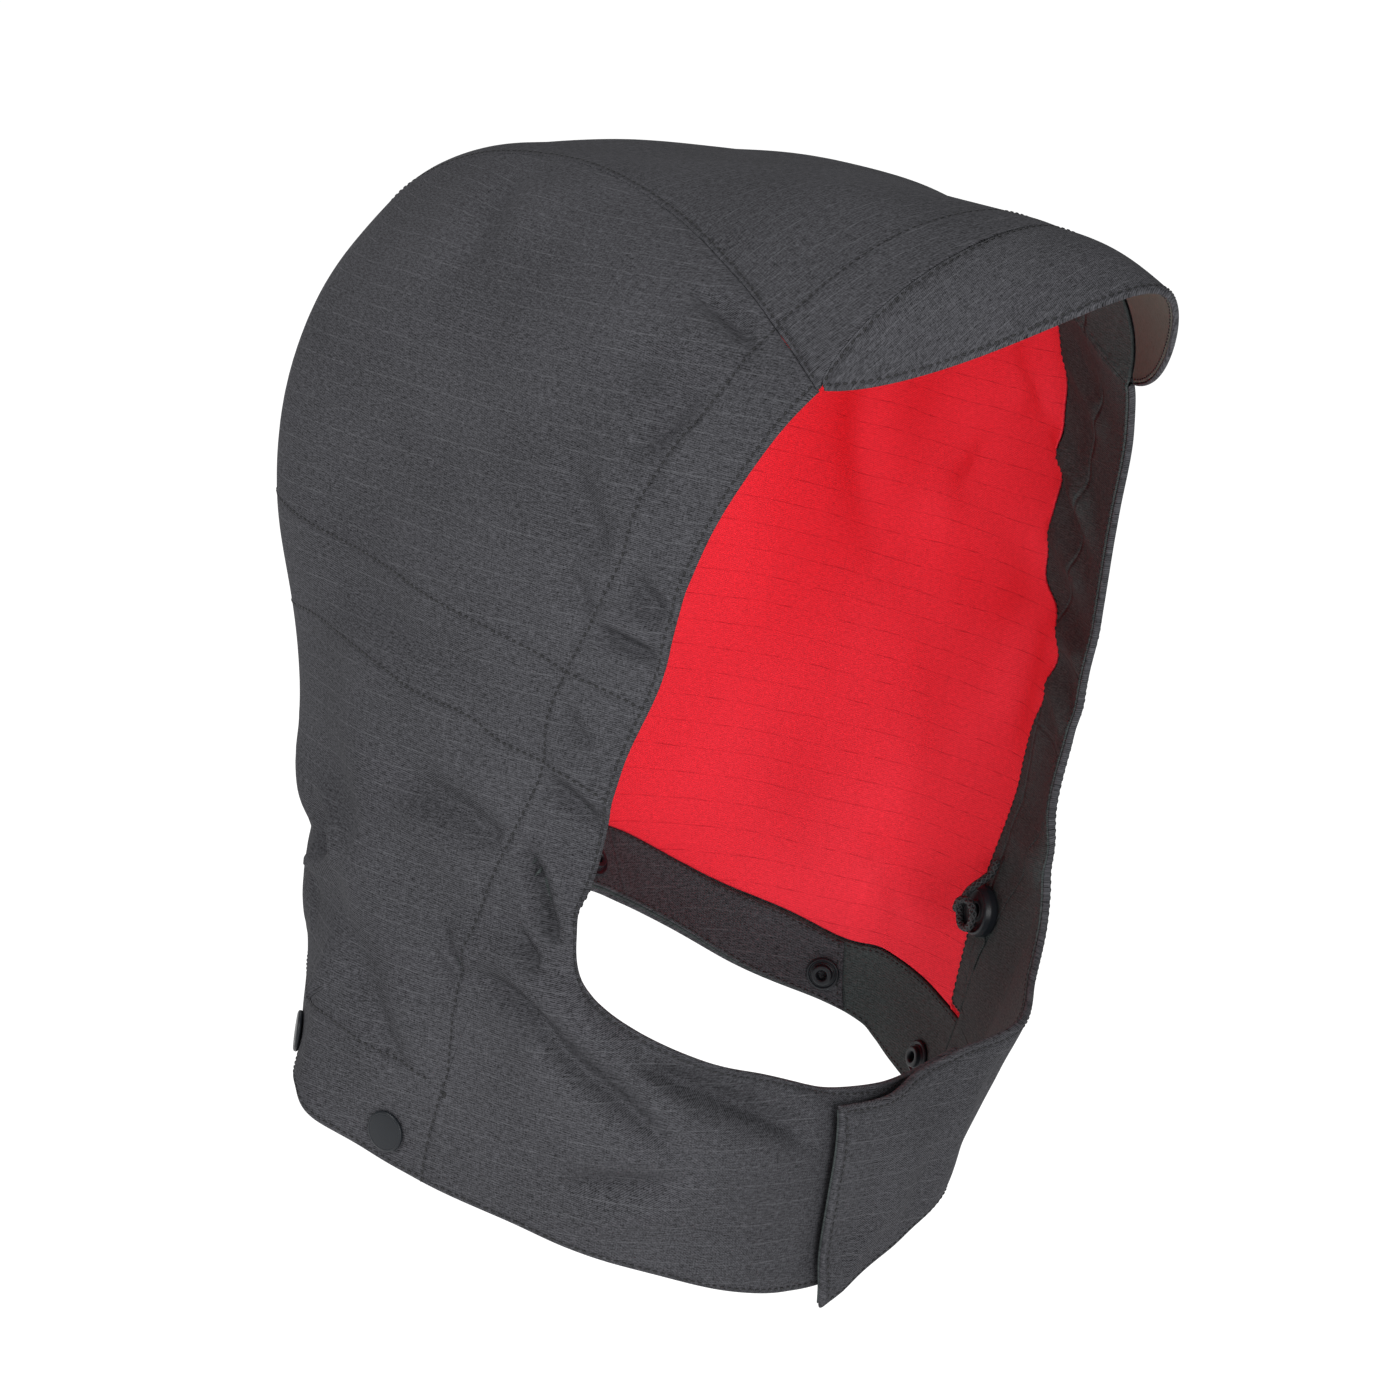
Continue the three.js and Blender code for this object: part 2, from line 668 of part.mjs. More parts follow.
// A turned solid from a closed profile of [radius, height], height towards the given axis
function turned(profile, centre, axis, sides = ROUND_SIDES) {
  const points = profile.map(([radius, height]) => new THREE.Vector2(radius, height));
  const lathe = new THREE.LatheGeometry(points, sides);
  const positions = [];
  const index = [];
  const count = profile.length;
  const placed = new THREE.Vector3();
  const upright = new THREE.Quaternion().setFromUnitVectors(new THREE.Vector3(0, 1, 0), axis);
  const source = lathe.getAttribute('position');
  const ids = [];
  for (let i = 0; i < sides; i += 1) {
    for (let j = 0; j < count; j += 1) {
      const onAxis = profile[j][0] === 0;
      if (onAxis && i > 0) {
        ids.push(ids[j]);
        continue;
      }
      ids.push(positions.length / 3);
      placed.fromBufferAttribute(source, i * count + j).applyQuaternion(upright).add(centre);
      positions.push(placed.x, placed.y, placed.z);
    }
  }
  const closed = profile[0][0] > 0;
  for (let i = 0; i < sides; i += 1) {
    const next = (i + 1) % sides;
    for (let j = 0; j < (closed ? count : count - 1); j += 1) {
      const k = (j + 1) % count;
      const [a, b] = [ids[i * count + j], ids[next * count + j]];
      const [c, d] = [ids[next * count + k], ids[i * count + k]];
      if (a !== b) index.push(a, b, c);
      if (c !== d) index.push(a, c, d);
    }
  }
  return facingOut(positions, index);
}

const capProfile = [
  [0, 0],
  [SNAP_CAP_RADIUS * 0.93, 0],
  [SNAP_CAP_RADIUS, SNAP_CAP_HEIGHT * 0.4],
  [SNAP_CAP_RADIUS * 0.9, SNAP_CAP_HEIGHT],
  [0, SNAP_CAP_HEIGHT],
];
const socketProfile = [
  [SNAP_HOLE_RADIUS, 0],
  [SNAP_SOCKET_RADIUS, 0],
  [SNAP_SOCKET_RADIUS, SNAP_SOCKET_HEIGHT * 0.4],
  [SNAP_SOCKET_RADIUS * 0.7, SNAP_SOCKET_HEIGHT * 0.4],
  [SNAP_SOCKET_RADIUS * 0.62, SNAP_SOCKET_HEIGHT],
  [SNAP_HOLE_RADIUS, SNAP_SOCKET_HEIGHT],
];
const SOCKET_CLEARANCE = 0.95; // a flat socket sits on cloth that curves round it

let snapNumber = 0;
for (const { around, down, onStrip } of SNAPS) {
  for (const { cloth } of SIDES) {
    snapNumber += 1;
    const outside = cloth(around, down, 0);
    const inside = cloth(around, down, onStrip ? stripFace.inner : liningFace.inner);
    const outward = outside.clone().sub(inside).normalize();
    const capSeat = outside.clone().addScaledVector(outward, SEAT_GAP);
    const socketSeat = inside.clone().addScaledVector(outward, -SOCKET_CLEARANCE);
    add(`snap_cap_${snapNumber}`, turned(capProfile, capSeat, outward), PLASTIC_COLOUR, 0.4);
    add(
      `snap_socket_${snapNumber}`,
      turned(socketProfile, socketSeat, outward.clone().negate()),
      PLASTIC_COLOUR,
      0.4,
    );
  }
}

// Cord lock on the left facing: a disc with a hole, and the elastic cord that comes out of its slit
const lockProfile = [
  [LOCK_HOLE_RADIUS, 0],
  [LOCK_RADIUS, 0],
  [LOCK_RADIUS, LOCK_HEIGHT * 0.6],
  [LOCK_RADIUS * 0.86, LOCK_HEIGHT],
  [LOCK_RADIUS * 0.66, LOCK_HEIGHT * 0.8],
  [LOCK_HOLE_RADIUS, LOCK_HEIGHT * 0.8],
];
const LOCK_CLEARANCE = 0.9;
const LOCK_SIDES = 18;

const lockInside = leftCloth(LOCK.around, LOCK.down, liningFace.inner);
const lockInward = lockInside.clone().sub(leftCloth(LOCK.around, LOCK.down, 0)).normalize();
const lockSeat = lockInside.clone().addScaledVector(lockInward, LOCK_CLEARANCE);
add('cord_lock', turned(lockProfile, lockSeat, lockInward, LOCK_SIDES), PLASTIC_COLOUR, 0.35);

// Directions on the lock's face: up towards the slit, and across it
const slitInside = leftCloth(SLIT.around, SLIT.down, liningFace.inner);
const lockUp = slitInside.clone().sub(lockInside).normalize();
lockUp.addScaledVector(lockInward, -lockUp.dot(lockInward)).normalize();
const lockAcross = lockUp.clone().cross(lockInward).normalize();
const CORD_SIDES = 8;
const CORD_STEPS = 26;
const CORD_LIFT = LOCK_HEIGHT + LOCK_CLEARANCE + CORD_RADIUS + CORD_GAP;

// The cord's points. Columns: across, up from the lock's middle, off the facing
const slitRise = slitInside.clone().sub(lockInside).dot(lockUp);
const cordRoute = [
  [0.5, slitRise - 1, CORD_RADIUS + CORD_GAP + 0.6],
  [0.3, slitRise - 5, CORD_RADIUS + CORD_GAP + 1.2],
  [0, LOCK_RADIUS + 3.5, CORD_LIFT - 3],
  [-1, LOCK_RADIUS - 1, CORD_LIFT + 0.4],
  [-4, 3.5, CORD_LIFT],
  [-4.8, -2, CORD_LIFT],
  [-1.5, -6.5, CORD_LIFT],
  [3.6, -5, CORD_LIFT],
  [5, 0.5, CORD_LIFT + 0.6],
  [2.2, 4.2, CORD_LIFT + 1.6],
  [-1.2, 3.4, CORD_LIFT + 3.2],
  [-2.2, -0.6, CORD_LIFT + 3.4],
].map(([across, up, off]) => {
  const point = lockInside.clone();
  point.addScaledVector(lockAcross, across);
  point.addScaledVector(lockUp, up);
  return point.addScaledVector(lockInward, off);
});
const cordSection = new THREE.Shape();
cordSection.absarc(0, 0, CORD_RADIUS, 0, Math.PI * 2);

function cordSolid() {
  const extruded = new THREE.ExtrudeGeometry(cordSection, {
    steps: CORD_STEPS,
    curveSegments: CORD_SIDES,
    bevelEnabled: false,
    extrudePath: new THREE.CatmullRomCurve3(cordRoute),
  });
  return extruded;
}

add('drawcord', cordSolid(), CORD_COLOUR, 0.8);

// The origin is where the crown rests on the head: on the lining, in the middle plane
const CROWN_REST = 0.25;
const crownRest = wholeCloth(MIDDLE, CROWN_REST, liningFace.inner);
hood.position.copy(crownRest).negate();

export default hood;
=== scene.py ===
"""Looks of the detachable hood: dressed cloth, stitching, snaps, cord and stage, in metres."""

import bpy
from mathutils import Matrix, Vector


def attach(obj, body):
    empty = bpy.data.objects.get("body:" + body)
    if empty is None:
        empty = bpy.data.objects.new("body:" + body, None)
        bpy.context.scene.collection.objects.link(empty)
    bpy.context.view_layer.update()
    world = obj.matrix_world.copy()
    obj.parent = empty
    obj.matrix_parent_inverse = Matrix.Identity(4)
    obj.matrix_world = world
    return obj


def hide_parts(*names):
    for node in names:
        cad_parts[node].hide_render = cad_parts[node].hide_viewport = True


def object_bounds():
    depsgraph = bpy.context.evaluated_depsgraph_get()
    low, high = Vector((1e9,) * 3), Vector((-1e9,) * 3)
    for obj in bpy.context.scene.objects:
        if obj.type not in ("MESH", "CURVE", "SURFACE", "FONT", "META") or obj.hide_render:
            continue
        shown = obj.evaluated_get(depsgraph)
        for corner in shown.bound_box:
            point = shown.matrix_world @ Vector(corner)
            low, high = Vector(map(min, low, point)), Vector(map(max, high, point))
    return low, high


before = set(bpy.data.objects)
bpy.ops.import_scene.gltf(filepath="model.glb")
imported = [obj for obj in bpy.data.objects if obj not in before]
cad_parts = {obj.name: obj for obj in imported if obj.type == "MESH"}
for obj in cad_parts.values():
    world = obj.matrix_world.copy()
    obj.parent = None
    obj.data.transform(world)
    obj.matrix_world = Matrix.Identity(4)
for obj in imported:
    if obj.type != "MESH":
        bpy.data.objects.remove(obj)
CAD_BOX = [list(corner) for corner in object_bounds()]

import math

import bmesh
import bpy
import numpy as np
from mathutils import Matrix, Vector

bl_info = {
    "name": "Detachable Hood",
    "version": (1, 0, 0),
    "blender": (4, 5, 0),
    "location": "3D View > Sidebar > Hood",
    "description": "Dresses the solids of a detachable hood in cloth, thread and plastic",
    "category": "Add Mesh",
}

# Cloth form, repeated from the part's source, in millimetres
HALF_WIDTH = 130.0
HEAD_DEPTH = 150.0
CROWN_HEIGHT = 320.0
SIZES = np.array([HALF_WIDTH, HEAD_DEPTH, CROWN_HEIGHT])
PEAK_REACH = 69.0
PEAK_RISE = 44.0
PEAK_ROOT_REACH = 17.0
PEAK_ROOT_RISE = 55.0
PEAK_CROWNING = 3.0
PEAK_SEAM_GAP = 0.1
PEAK_TUCK = 0.1
SEAM_POWER = 1.2
EDGE_FORE_POWER = 1.53
EDGE_RISE_POWER = 2.5
EDGE_PINCH = 0.3
CROWN_SEAM = 1.0
MIDDLE = 1.14
FLAP_STANDOFF = 6.5
CROWN_REST = 0.25

SHELL_WALL = 1.2
LINING_TOP = 2.0
LINING_FOOT = 3.0
STRIP_TOP = 3.5
STRIP_FOOT = 4.5
FACING_FOOT = LINING_FOOT + 0.25
LOCK_CLEARANCE = 0.9

# Columns: around, then out, back and up as shares of SIZES
FACE_EDGE = [
    (0.0, 0.0, -0.647, 0.097), (0.05, 0.169, -0.607, 0.098), (0.1, 0.354, -0.593, 0.116),
    (0.15, 0.538, -0.587, 0.138), (0.2, 0.692, -0.507, 0.166), (0.25, 0.8, -0.45, 0.206),
    (0.3, 0.827, -0.43, 0.259), (0.4, 0.792, -0.443, 0.344), (0.5, 0.788, -0.473, 0.431),
    (0.6, 0.75, -0.523, 0.519), (0.7, 0.735, -0.547, 0.603), (0.8, 0.7, -0.587, 0.684),
    (0.9, 0.635, -0.653, 0.766), (1.0, 0.55, -0.7, 0.825),
]
NECK_HEM = [
    (0.0, 0.0, -0.58, -0.128), (0.1, 0.308, -0.573, -0.12), (0.2, 0.615, -0.467, -0.094),
    (0.25, 0.708, -0.387, -0.081), (0.3, 0.785, -0.293, -0.066), (0.4, 0.9, -0.087, -0.047),
    (0.5, 0.969, 0.107, -0.024), (0.6, 1.003, 0.207, -0.01), (0.7, 0.986, 0.27, 0.006),
    (0.8, 0.923, 0.353, 0.022), (0.9, 0.72, 0.5, 0.053), (1.0, 0.4, 0.593, 0.12),
    (1.07, 0.2, 0.613, 0.145), (1.14, 0.0, 0.62, 0.153),
]
# Columns: around, then out, back and up at a quarter, a half and three quarters of the way down
RIBS = [
    (0.0, 0.0, -0.64, 0.041, 0.0, -0.623, -0.016, 0.0, -0.6, -0.072),
    (0.15, 0.554, -0.593, 0.075, 0.554, -0.587, 0.016, 0.523, -0.563, -0.047),
    (0.25, 0.823, -0.453, 0.134, 0.815, -0.44, 0.062, 0.769, -0.413, -0.009),
    (0.4, 0.877, -0.32, 0.256, 0.908, -0.207, 0.156, 0.915, -0.133, 0.05),
    (0.6, 0.915, -0.187, 0.45, 0.969, 0.053, 0.319, 0.985, 0.167, 0.15),
    (0.8, 0.869, -0.133, 0.706, 0.931, 0.32, 0.55, 0.885, 0.38, 0.266),
    (0.9, 0.762, -0.027, 0.869, 0.828, 0.717, 0.728, 0.76, 0.658, 0.399),
    (1.0, 0.508, 0.1, 0.981, 0.495, 0.817, 0.884, 0.431, 0.953, 0.525),
    (1.07, 0.262, 0.115, 0.993, 0.256, 0.838, 0.913, 0.231, 0.997, 0.542),
    (1.14, 0.0, 0.12, 0.995, 0.0, 0.847, 0.919, 0.0, 1.013, 0.547),
]
# Columns: around, length share, stand-off share
LEFT_CHIN = [
    (-0.06, 1.1, 1.0), (-0.03, 1.08, 1.0), (0.0, 1.0, 1.0), (0.05, 0.86, 1.0),
    (0.1, 0.72, 0.95), (0.15, 0.74, 0.77), (0.2, 0.8, 0.46), (0.25, 0.86, 0.18),
    (0.3, 0.92, 0.05), (0.4, 0.99, 0.0), (0.5, 1.0, 0.0), (0.6, 1.0, 0.0), (1.14, 1.0, 0.0),
]
# Columns: around, length share
RIGHT_CHIN = [(-0.1, 0.66), (-0.05, 0.8), (0.0, 0.97), (0.05, 1.0), (0.1, 1.0), (1.14, 1.0)]
# The closed lap pulls the chin in. Columns: around on the left, inwards, backwards
CHIN_PULL = [
    (0.0, 0.0, 0.0), (0.05, 0.002, 0.02), (0.1, 0.011, 0.057), (0.15, 0.078, 0.089),
    (0.2, 0.124, 0.084), (0.25, 0.112, 0.058), (0.3, 0.065, 0.027), (0.35, 0.025, 0.008),
    (0.4, 0.004, 0.001), (0.45, 0.0, 0.0),
]
PULL_END = 0.6
# Sewn lines. Columns: around, down
FACING_LINE = [
    (0.4, 0.68), (0.43, 0.49), (0.46, 0.34), (0.5, 0.21), (0.6, 0.15), (0.7, 0.095),
    (0.8, 0.08), (0.9, 0.055), (1.0, 0.045), (1.14, 0.036),
]
BAND_LINE = [
    (0.4, 0.72), (0.5, 0.775), (0.6, 0.83), (0.7, 0.87), (0.8, 0.905), (0.9, 0.94),
    (1.0, 0.955), (1.14, 0.955),
]
UPPER_TUNNEL = [
    (0.57, 0.005), (0.595, 0.065), (0.62, 0.13), (0.645, 0.185), (0.68, 0.265), (0.73, 0.365),
    (0.79, 0.46), (0.83, 0.525), (0.885, 0.595), (1.0, 0.69), (1.14, 0.72),
]
LOWER_TUNNEL = [
    (0.465, 0.01), (0.51, 0.095), (0.55, 0.18), (0.575, 0.235), (0.615, 0.3), (0.67, 0.4),
    (0.725, 0.475), (0.785, 0.55), (0.83, 0.605), (0.88, 0.67), (1.0, 0.77), (1.14, 0.79),
]
# Inner edge of the facing, wider than the sewn line outside. Columns: around, down
FACING_EDGE = [
    (0.4, 0.72), (0.43, 0.73), (0.446, 0.55), (0.475, 0.38), (0.52, 0.235), (0.56, 0.155),
    (0.605, 0.12), (0.655, 0.145), (0.69, 0.19), (0.725, 0.182), (0.779, 0.158), (0.832, 0.146),
    (0.9, 0.138), (0.96, 0.11), (1.0, 0.085), (1.07, 0.06), (1.14, 0.055),
]
FACING_TURN = 0.4  # below this the facing fills the whole chin
STRIP_END = 0.745
HIDDEN_CHIN = -0.1
FLAP_TOP = -0.04
FLAP_TIP = -0.02
CORNER_DROP = 0.078  # the flap's upper corner lies this share of the way down
CORNER_END = 0.05
# Columns: around, down, whether it sits on the rear strip
SNAPS = [(0.45, 0.915, False), (0.79, 0.957, True), (1.04, 0.984, True)]
LOCK_PLACE = (0.43, 0.465)
SLIT_PLACE = (0.45, 0.36)
# Places around at which the sewn lines start
UPPER_START = 0.57
LOWER_START = 0.465
BAND_START = 0.42
TURN_REACH = 0.03  # the facing's upright seam is felt this far round from its turn
SLANT_END = 0.12  # the slant of the flap's end has died out here
ROW_STEP = 0.25  # share of the way down between two points of a rib
STEP = 0.002  # share of around or of down over which directions are measured


def unit(vectors):
    """Each vector divided by its length."""
    return vectors / np.linalg.norm(vectors, axis=-1, keepdims=True)


def length_of(vectors):
    """The length of each vector."""
    return np.linalg.norm(vectors, axis=-1)


def bell(value, power=2):
    """1 at zero and falling to both sides: e to the minus of an even power."""
    return np.exp(-(value**power))


def hermite(t, step, start, start_slope, end, end_slope):
    """Cubic between two values with a slope at each, at the share t of the step."""
    first = (1 + 2 * t) * (1 - t) ** 2 * start + t * (1 - t) ** 2 * step * start_slope
    return first + (t * t * (3 - 2 * t) * end + t * t * (t - 1) * step * end_slope)


class Curve:
    """Cubic through a table's rows, each slope that of a parabola through three neighbours."""

    def __init__(self, rows):
        table = np.array(rows, float)
        self.knots, self.values = table[:, 0], table[:, 1:]
        step = np.diff(self.knots)
        rise = np.diff(self.values, axis=0) / step[:, None]
        self.slopes = np.empty_like(self.values)
        total = (step[:-1] + step[1:])[:, None]
        inner = (rise[:-1] * step[1:, None] + rise[1:] * step[:-1, None]) / total
        self.slopes[1:-1] = inner
        self.slopes[0] = 2 * rise[0] - inner[0]
        self.slopes[-1] = 2 * rise[-1] - inner[-1]

    def __call__(self, place):
        place = np.asarray(place, float)
        last = len(self.knots) - 2
        i = np.clip(np.searchsorted(self.knots, place, side="right") - 1, 0, last)
        step = (self.knots[i + 1] - self.knots[i])[..., None]
        t = (place - self.knots[i])[..., None] / step
        ends = self.values[i], self.slopes[i], self.values[i + 1], self.slopes[i + 1]
        return hermite(t, step, *ends)


def wrapped(rows, over_crown):
    """The table with its first rows mirrored before the chin, and its last ones past the crown."""
    table = np.array(rows, float)
    flip = np.array([-1.0, 1.0, 1.0] * ((table.shape[1] - 1) // 3))
    chin = table[1:4][::-1].copy()
    chin[:, 0] *= -1
    chin[:, 1:] *= flip
    parts = [chin, table]
    if over_crown:
        crown = table[-4:-1][::-1].copy()
        crown[:, 0] = 2 * MIDDLE - crown[:, 0]
        crown[:, 1:] *= flip
        parts.append(crown)
    return np.vstack(parts)


face_edge = Curve(wrapped(FACE_EDGE, False))
neck_hem = Curve(wrapped(NECK_HEM, True))
rib_points = Curve(wrapped(RIBS, True))
left_chin = Curve(LEFT_CHIN)
right_chin = Curve(RIGHT_CHIN)
chin_pull = Curve(CHIN_PULL)
facing_line = Curve(FACING_LINE)
facing_edge = Curve(FACING_EDGE)
band_line = Curve(BAND_LINE)
upper_tunnel = Curve(UPPER_TUNNEL)
lower_tunnel = Curve(LOWER_TUNNEL)
CORNER = np.array(FACE_EDGE[-1][1:]) * SIZES


def smooth_step(value, low, high):
    """0 below low, 1 above high, and the cubic 3t squared less 2t cubed between."""
    t = np.clip((np.asarray(value, float) - low) / (high - low), 0, 1)
    return t * t * (3 - 2 * t)


def peak_seam(turn):
    """Arch between the peak's corners: sine and cosine of the turn, raised to one power."""
    sine = np.abs(np.sin(turn)) ** SEAM_POWER
    cosine = np.cos(turn)
    out = CORNER[0] * np.sign(cosine) * np.abs(cosine) ** SEAM_POWER
    fore = CORNER[1] - PEAK_ROOT_REACH * sine
    return np.stack([out, fore, CORNER[2] + PEAK_ROOT_RISE * sine], -1)


def peak_edge(turn):
    """Arch of the peak's front edge, pinched by the square of the sine."""
    sine = np.clip(np.sin(turn), 0, 1)
    out = CORNER[0] * np.cos(turn) * (1 - EDGE_PINCH * sine**2)
    fore = CORNER[1] - PEAK_REACH * sine**EDGE_FORE_POWER
    return np.stack([out, fore, CORNER[2] + PEAK_RISE * sine**EDGE_RISE_POWER], -1)


def right_side(around, down):
    """Point of the right side: each rib is a cubic through five points, from face to hem."""
    shape = around.shape
    around, down = around.ravel(), down.ravel()
    turn = (around - CROWN_SEAM) / (MIDDLE - CROWN_SEAM) * (math.pi / 2)
    front = face_edge(np.minimum(around, CROWN_SEAM)) * SIZES
    front = np.where((around > CROWN_SEAM)[:, None], peak_seam(turn), front)
    inner = rib_points(around).reshape(-1, 3, 3) * SIZES
    points = np.concatenate([front[:, None], inner, (neck_hem(around) * SIZES)[:, None]], 1)
    rise = np.diff(points, axis=1) / ROW_STEP
    slope = np.empty_like(points)
    slope[:, 1:-1] = (rise[:, :-1] + rise[:, 1:]) / 2
    slope[:, 0] = 2 * rise[:, 0] - slope[:, 1]
    slope[:, -1] = 2 * rise[:, -1] - slope[:, -2]
    i = np.clip((down / ROW_STEP).astype(int), 0, 3)
    n = np.arange(len(around))
    ends = points[n, i], slope[n, i], points[n, i + 1], slope[n, i + 1]
    return hermite((down / ROW_STEP - i)[:, None], ROW_STEP, *ends).reshape(shape + (3,))


def opposite(around):
    """The same place on the other side."""
    return 2 * MIDDLE - around


def folded(around):
    """Place on its own side: places past the middle count back down the left side."""
    return np.where(around > MIDDLE, opposite(around), around)


def arrays(around, down):
    """Places around and down as arrays of one shape."""
    return np.broadcast_arrays(np.asarray(around, float), np.asarray(down, float))


def shell_point(around, down):
    """Point of the bare shell: the left side is the right one mirrored in the middle plane."""
    around, down = arrays(around, down)
    place = folded(around)
    point = right_side(np.abs(place), down)
    point[..., 0] *= np.where((around > MIDDLE) != (place < 0), 1.0, -1.0)
    return point


def steps(face, first, second):
    """Differences of a surface over two steps, along its first and along its second place."""
    at = np.clip(second, STEP, 1 - STEP)
    along = face(first + STEP, at) - face(first - STEP, at)
    return along, face(first, at + STEP) - face(first, at - STEP)


def shell_normal(around, down):
    """Outward direction: the cross product of the steps along and down the cloth."""
    return unit(np.cross(*steps(shell_point, around, down)))


def pull_in(point, around, reach):
    """The point moved in and back by the lap: the table times the sine of the reach's share."""
    inside = (around > CHIN_PULL[0][0]) & (around < CHIN_PULL[-1][0])
    pull = chin_pull(np.clip(around, CHIN_PULL[0][0], CHIN_PULL[-1][0])) * inside[..., None]
    share = np.sin(math.pi / 2 * np.minimum(reach / PULL_END, 1))[..., None]
    moved = np.stack([-pull[..., 0] * HALF_WIDTH, pull[..., 1] * HEAD_DEPTH], -1) * share
    return point + np.concatenate([moved, np.zeros_like(share)], -1)


def cloth_face(side, around, down):
    """Point of the smooth cloth: each side is counted from the chin, the whole from the right."""
    if side == "whole":
        left = cloth_face("left", np.minimum(opposite(around), MIDDLE + STEP), down)
        right = cloth_face("right", np.minimum(around, MIDDLE + STEP), down)
        return np.where((around > MIDDLE)[..., None], left, right)
    if side == "right":
        reach = down * right_chin(around)[..., 0]
        return pull_in(shell_point(around, reach), -around, reach)
    length, standoff = np.moveaxis(left_chin(around), -1, 0)
    reach = down * length
    lifted = shell_normal(opposite(around), reach) * (standoff * FLAP_STANDOFF)[..., None]
    return pull_in(shell_point(opposite(around), reach) + lifted, around, reach)


def cloth_steps(side, around, down):
    """Steps of the smooth cloth around it and down it."""
    return steps(lambda a, d: cloth_face(side, a, d), *arrays(around, down))


def cloth(side, around, down):
    """Point of the smooth cloth and its outward direction, the cross product of two steps."""
    around, down = arrays(around, down)
    turned = -1 if side == "left" else 1
    return cloth_face(side, around, down), unit(np.cross(*cloth_steps(side, around, down))) * turned


def cloth_spot(side, around, down):
    """Point and outward direction of the smooth cloth at one place."""
    return [value[0] for value in cloth(side, [around], [down])]


def speeds(side, around, down):
    """Vectors in millimetres for one unit of around and for one of down."""
    return [step / (2 * STEP) for step in cloth_steps(side, around, down)]


def pace(side, around, down, way):
    """Millimetres for one unit of around, way 0, or of down, way 1."""
    return length_of(speeds(side, around, down)[way])


rest_point, rest_normal = cloth_spot("right", MIDDLE, CROWN_REST)
ORIGIN = rest_point - rest_normal * LINING_FOOT


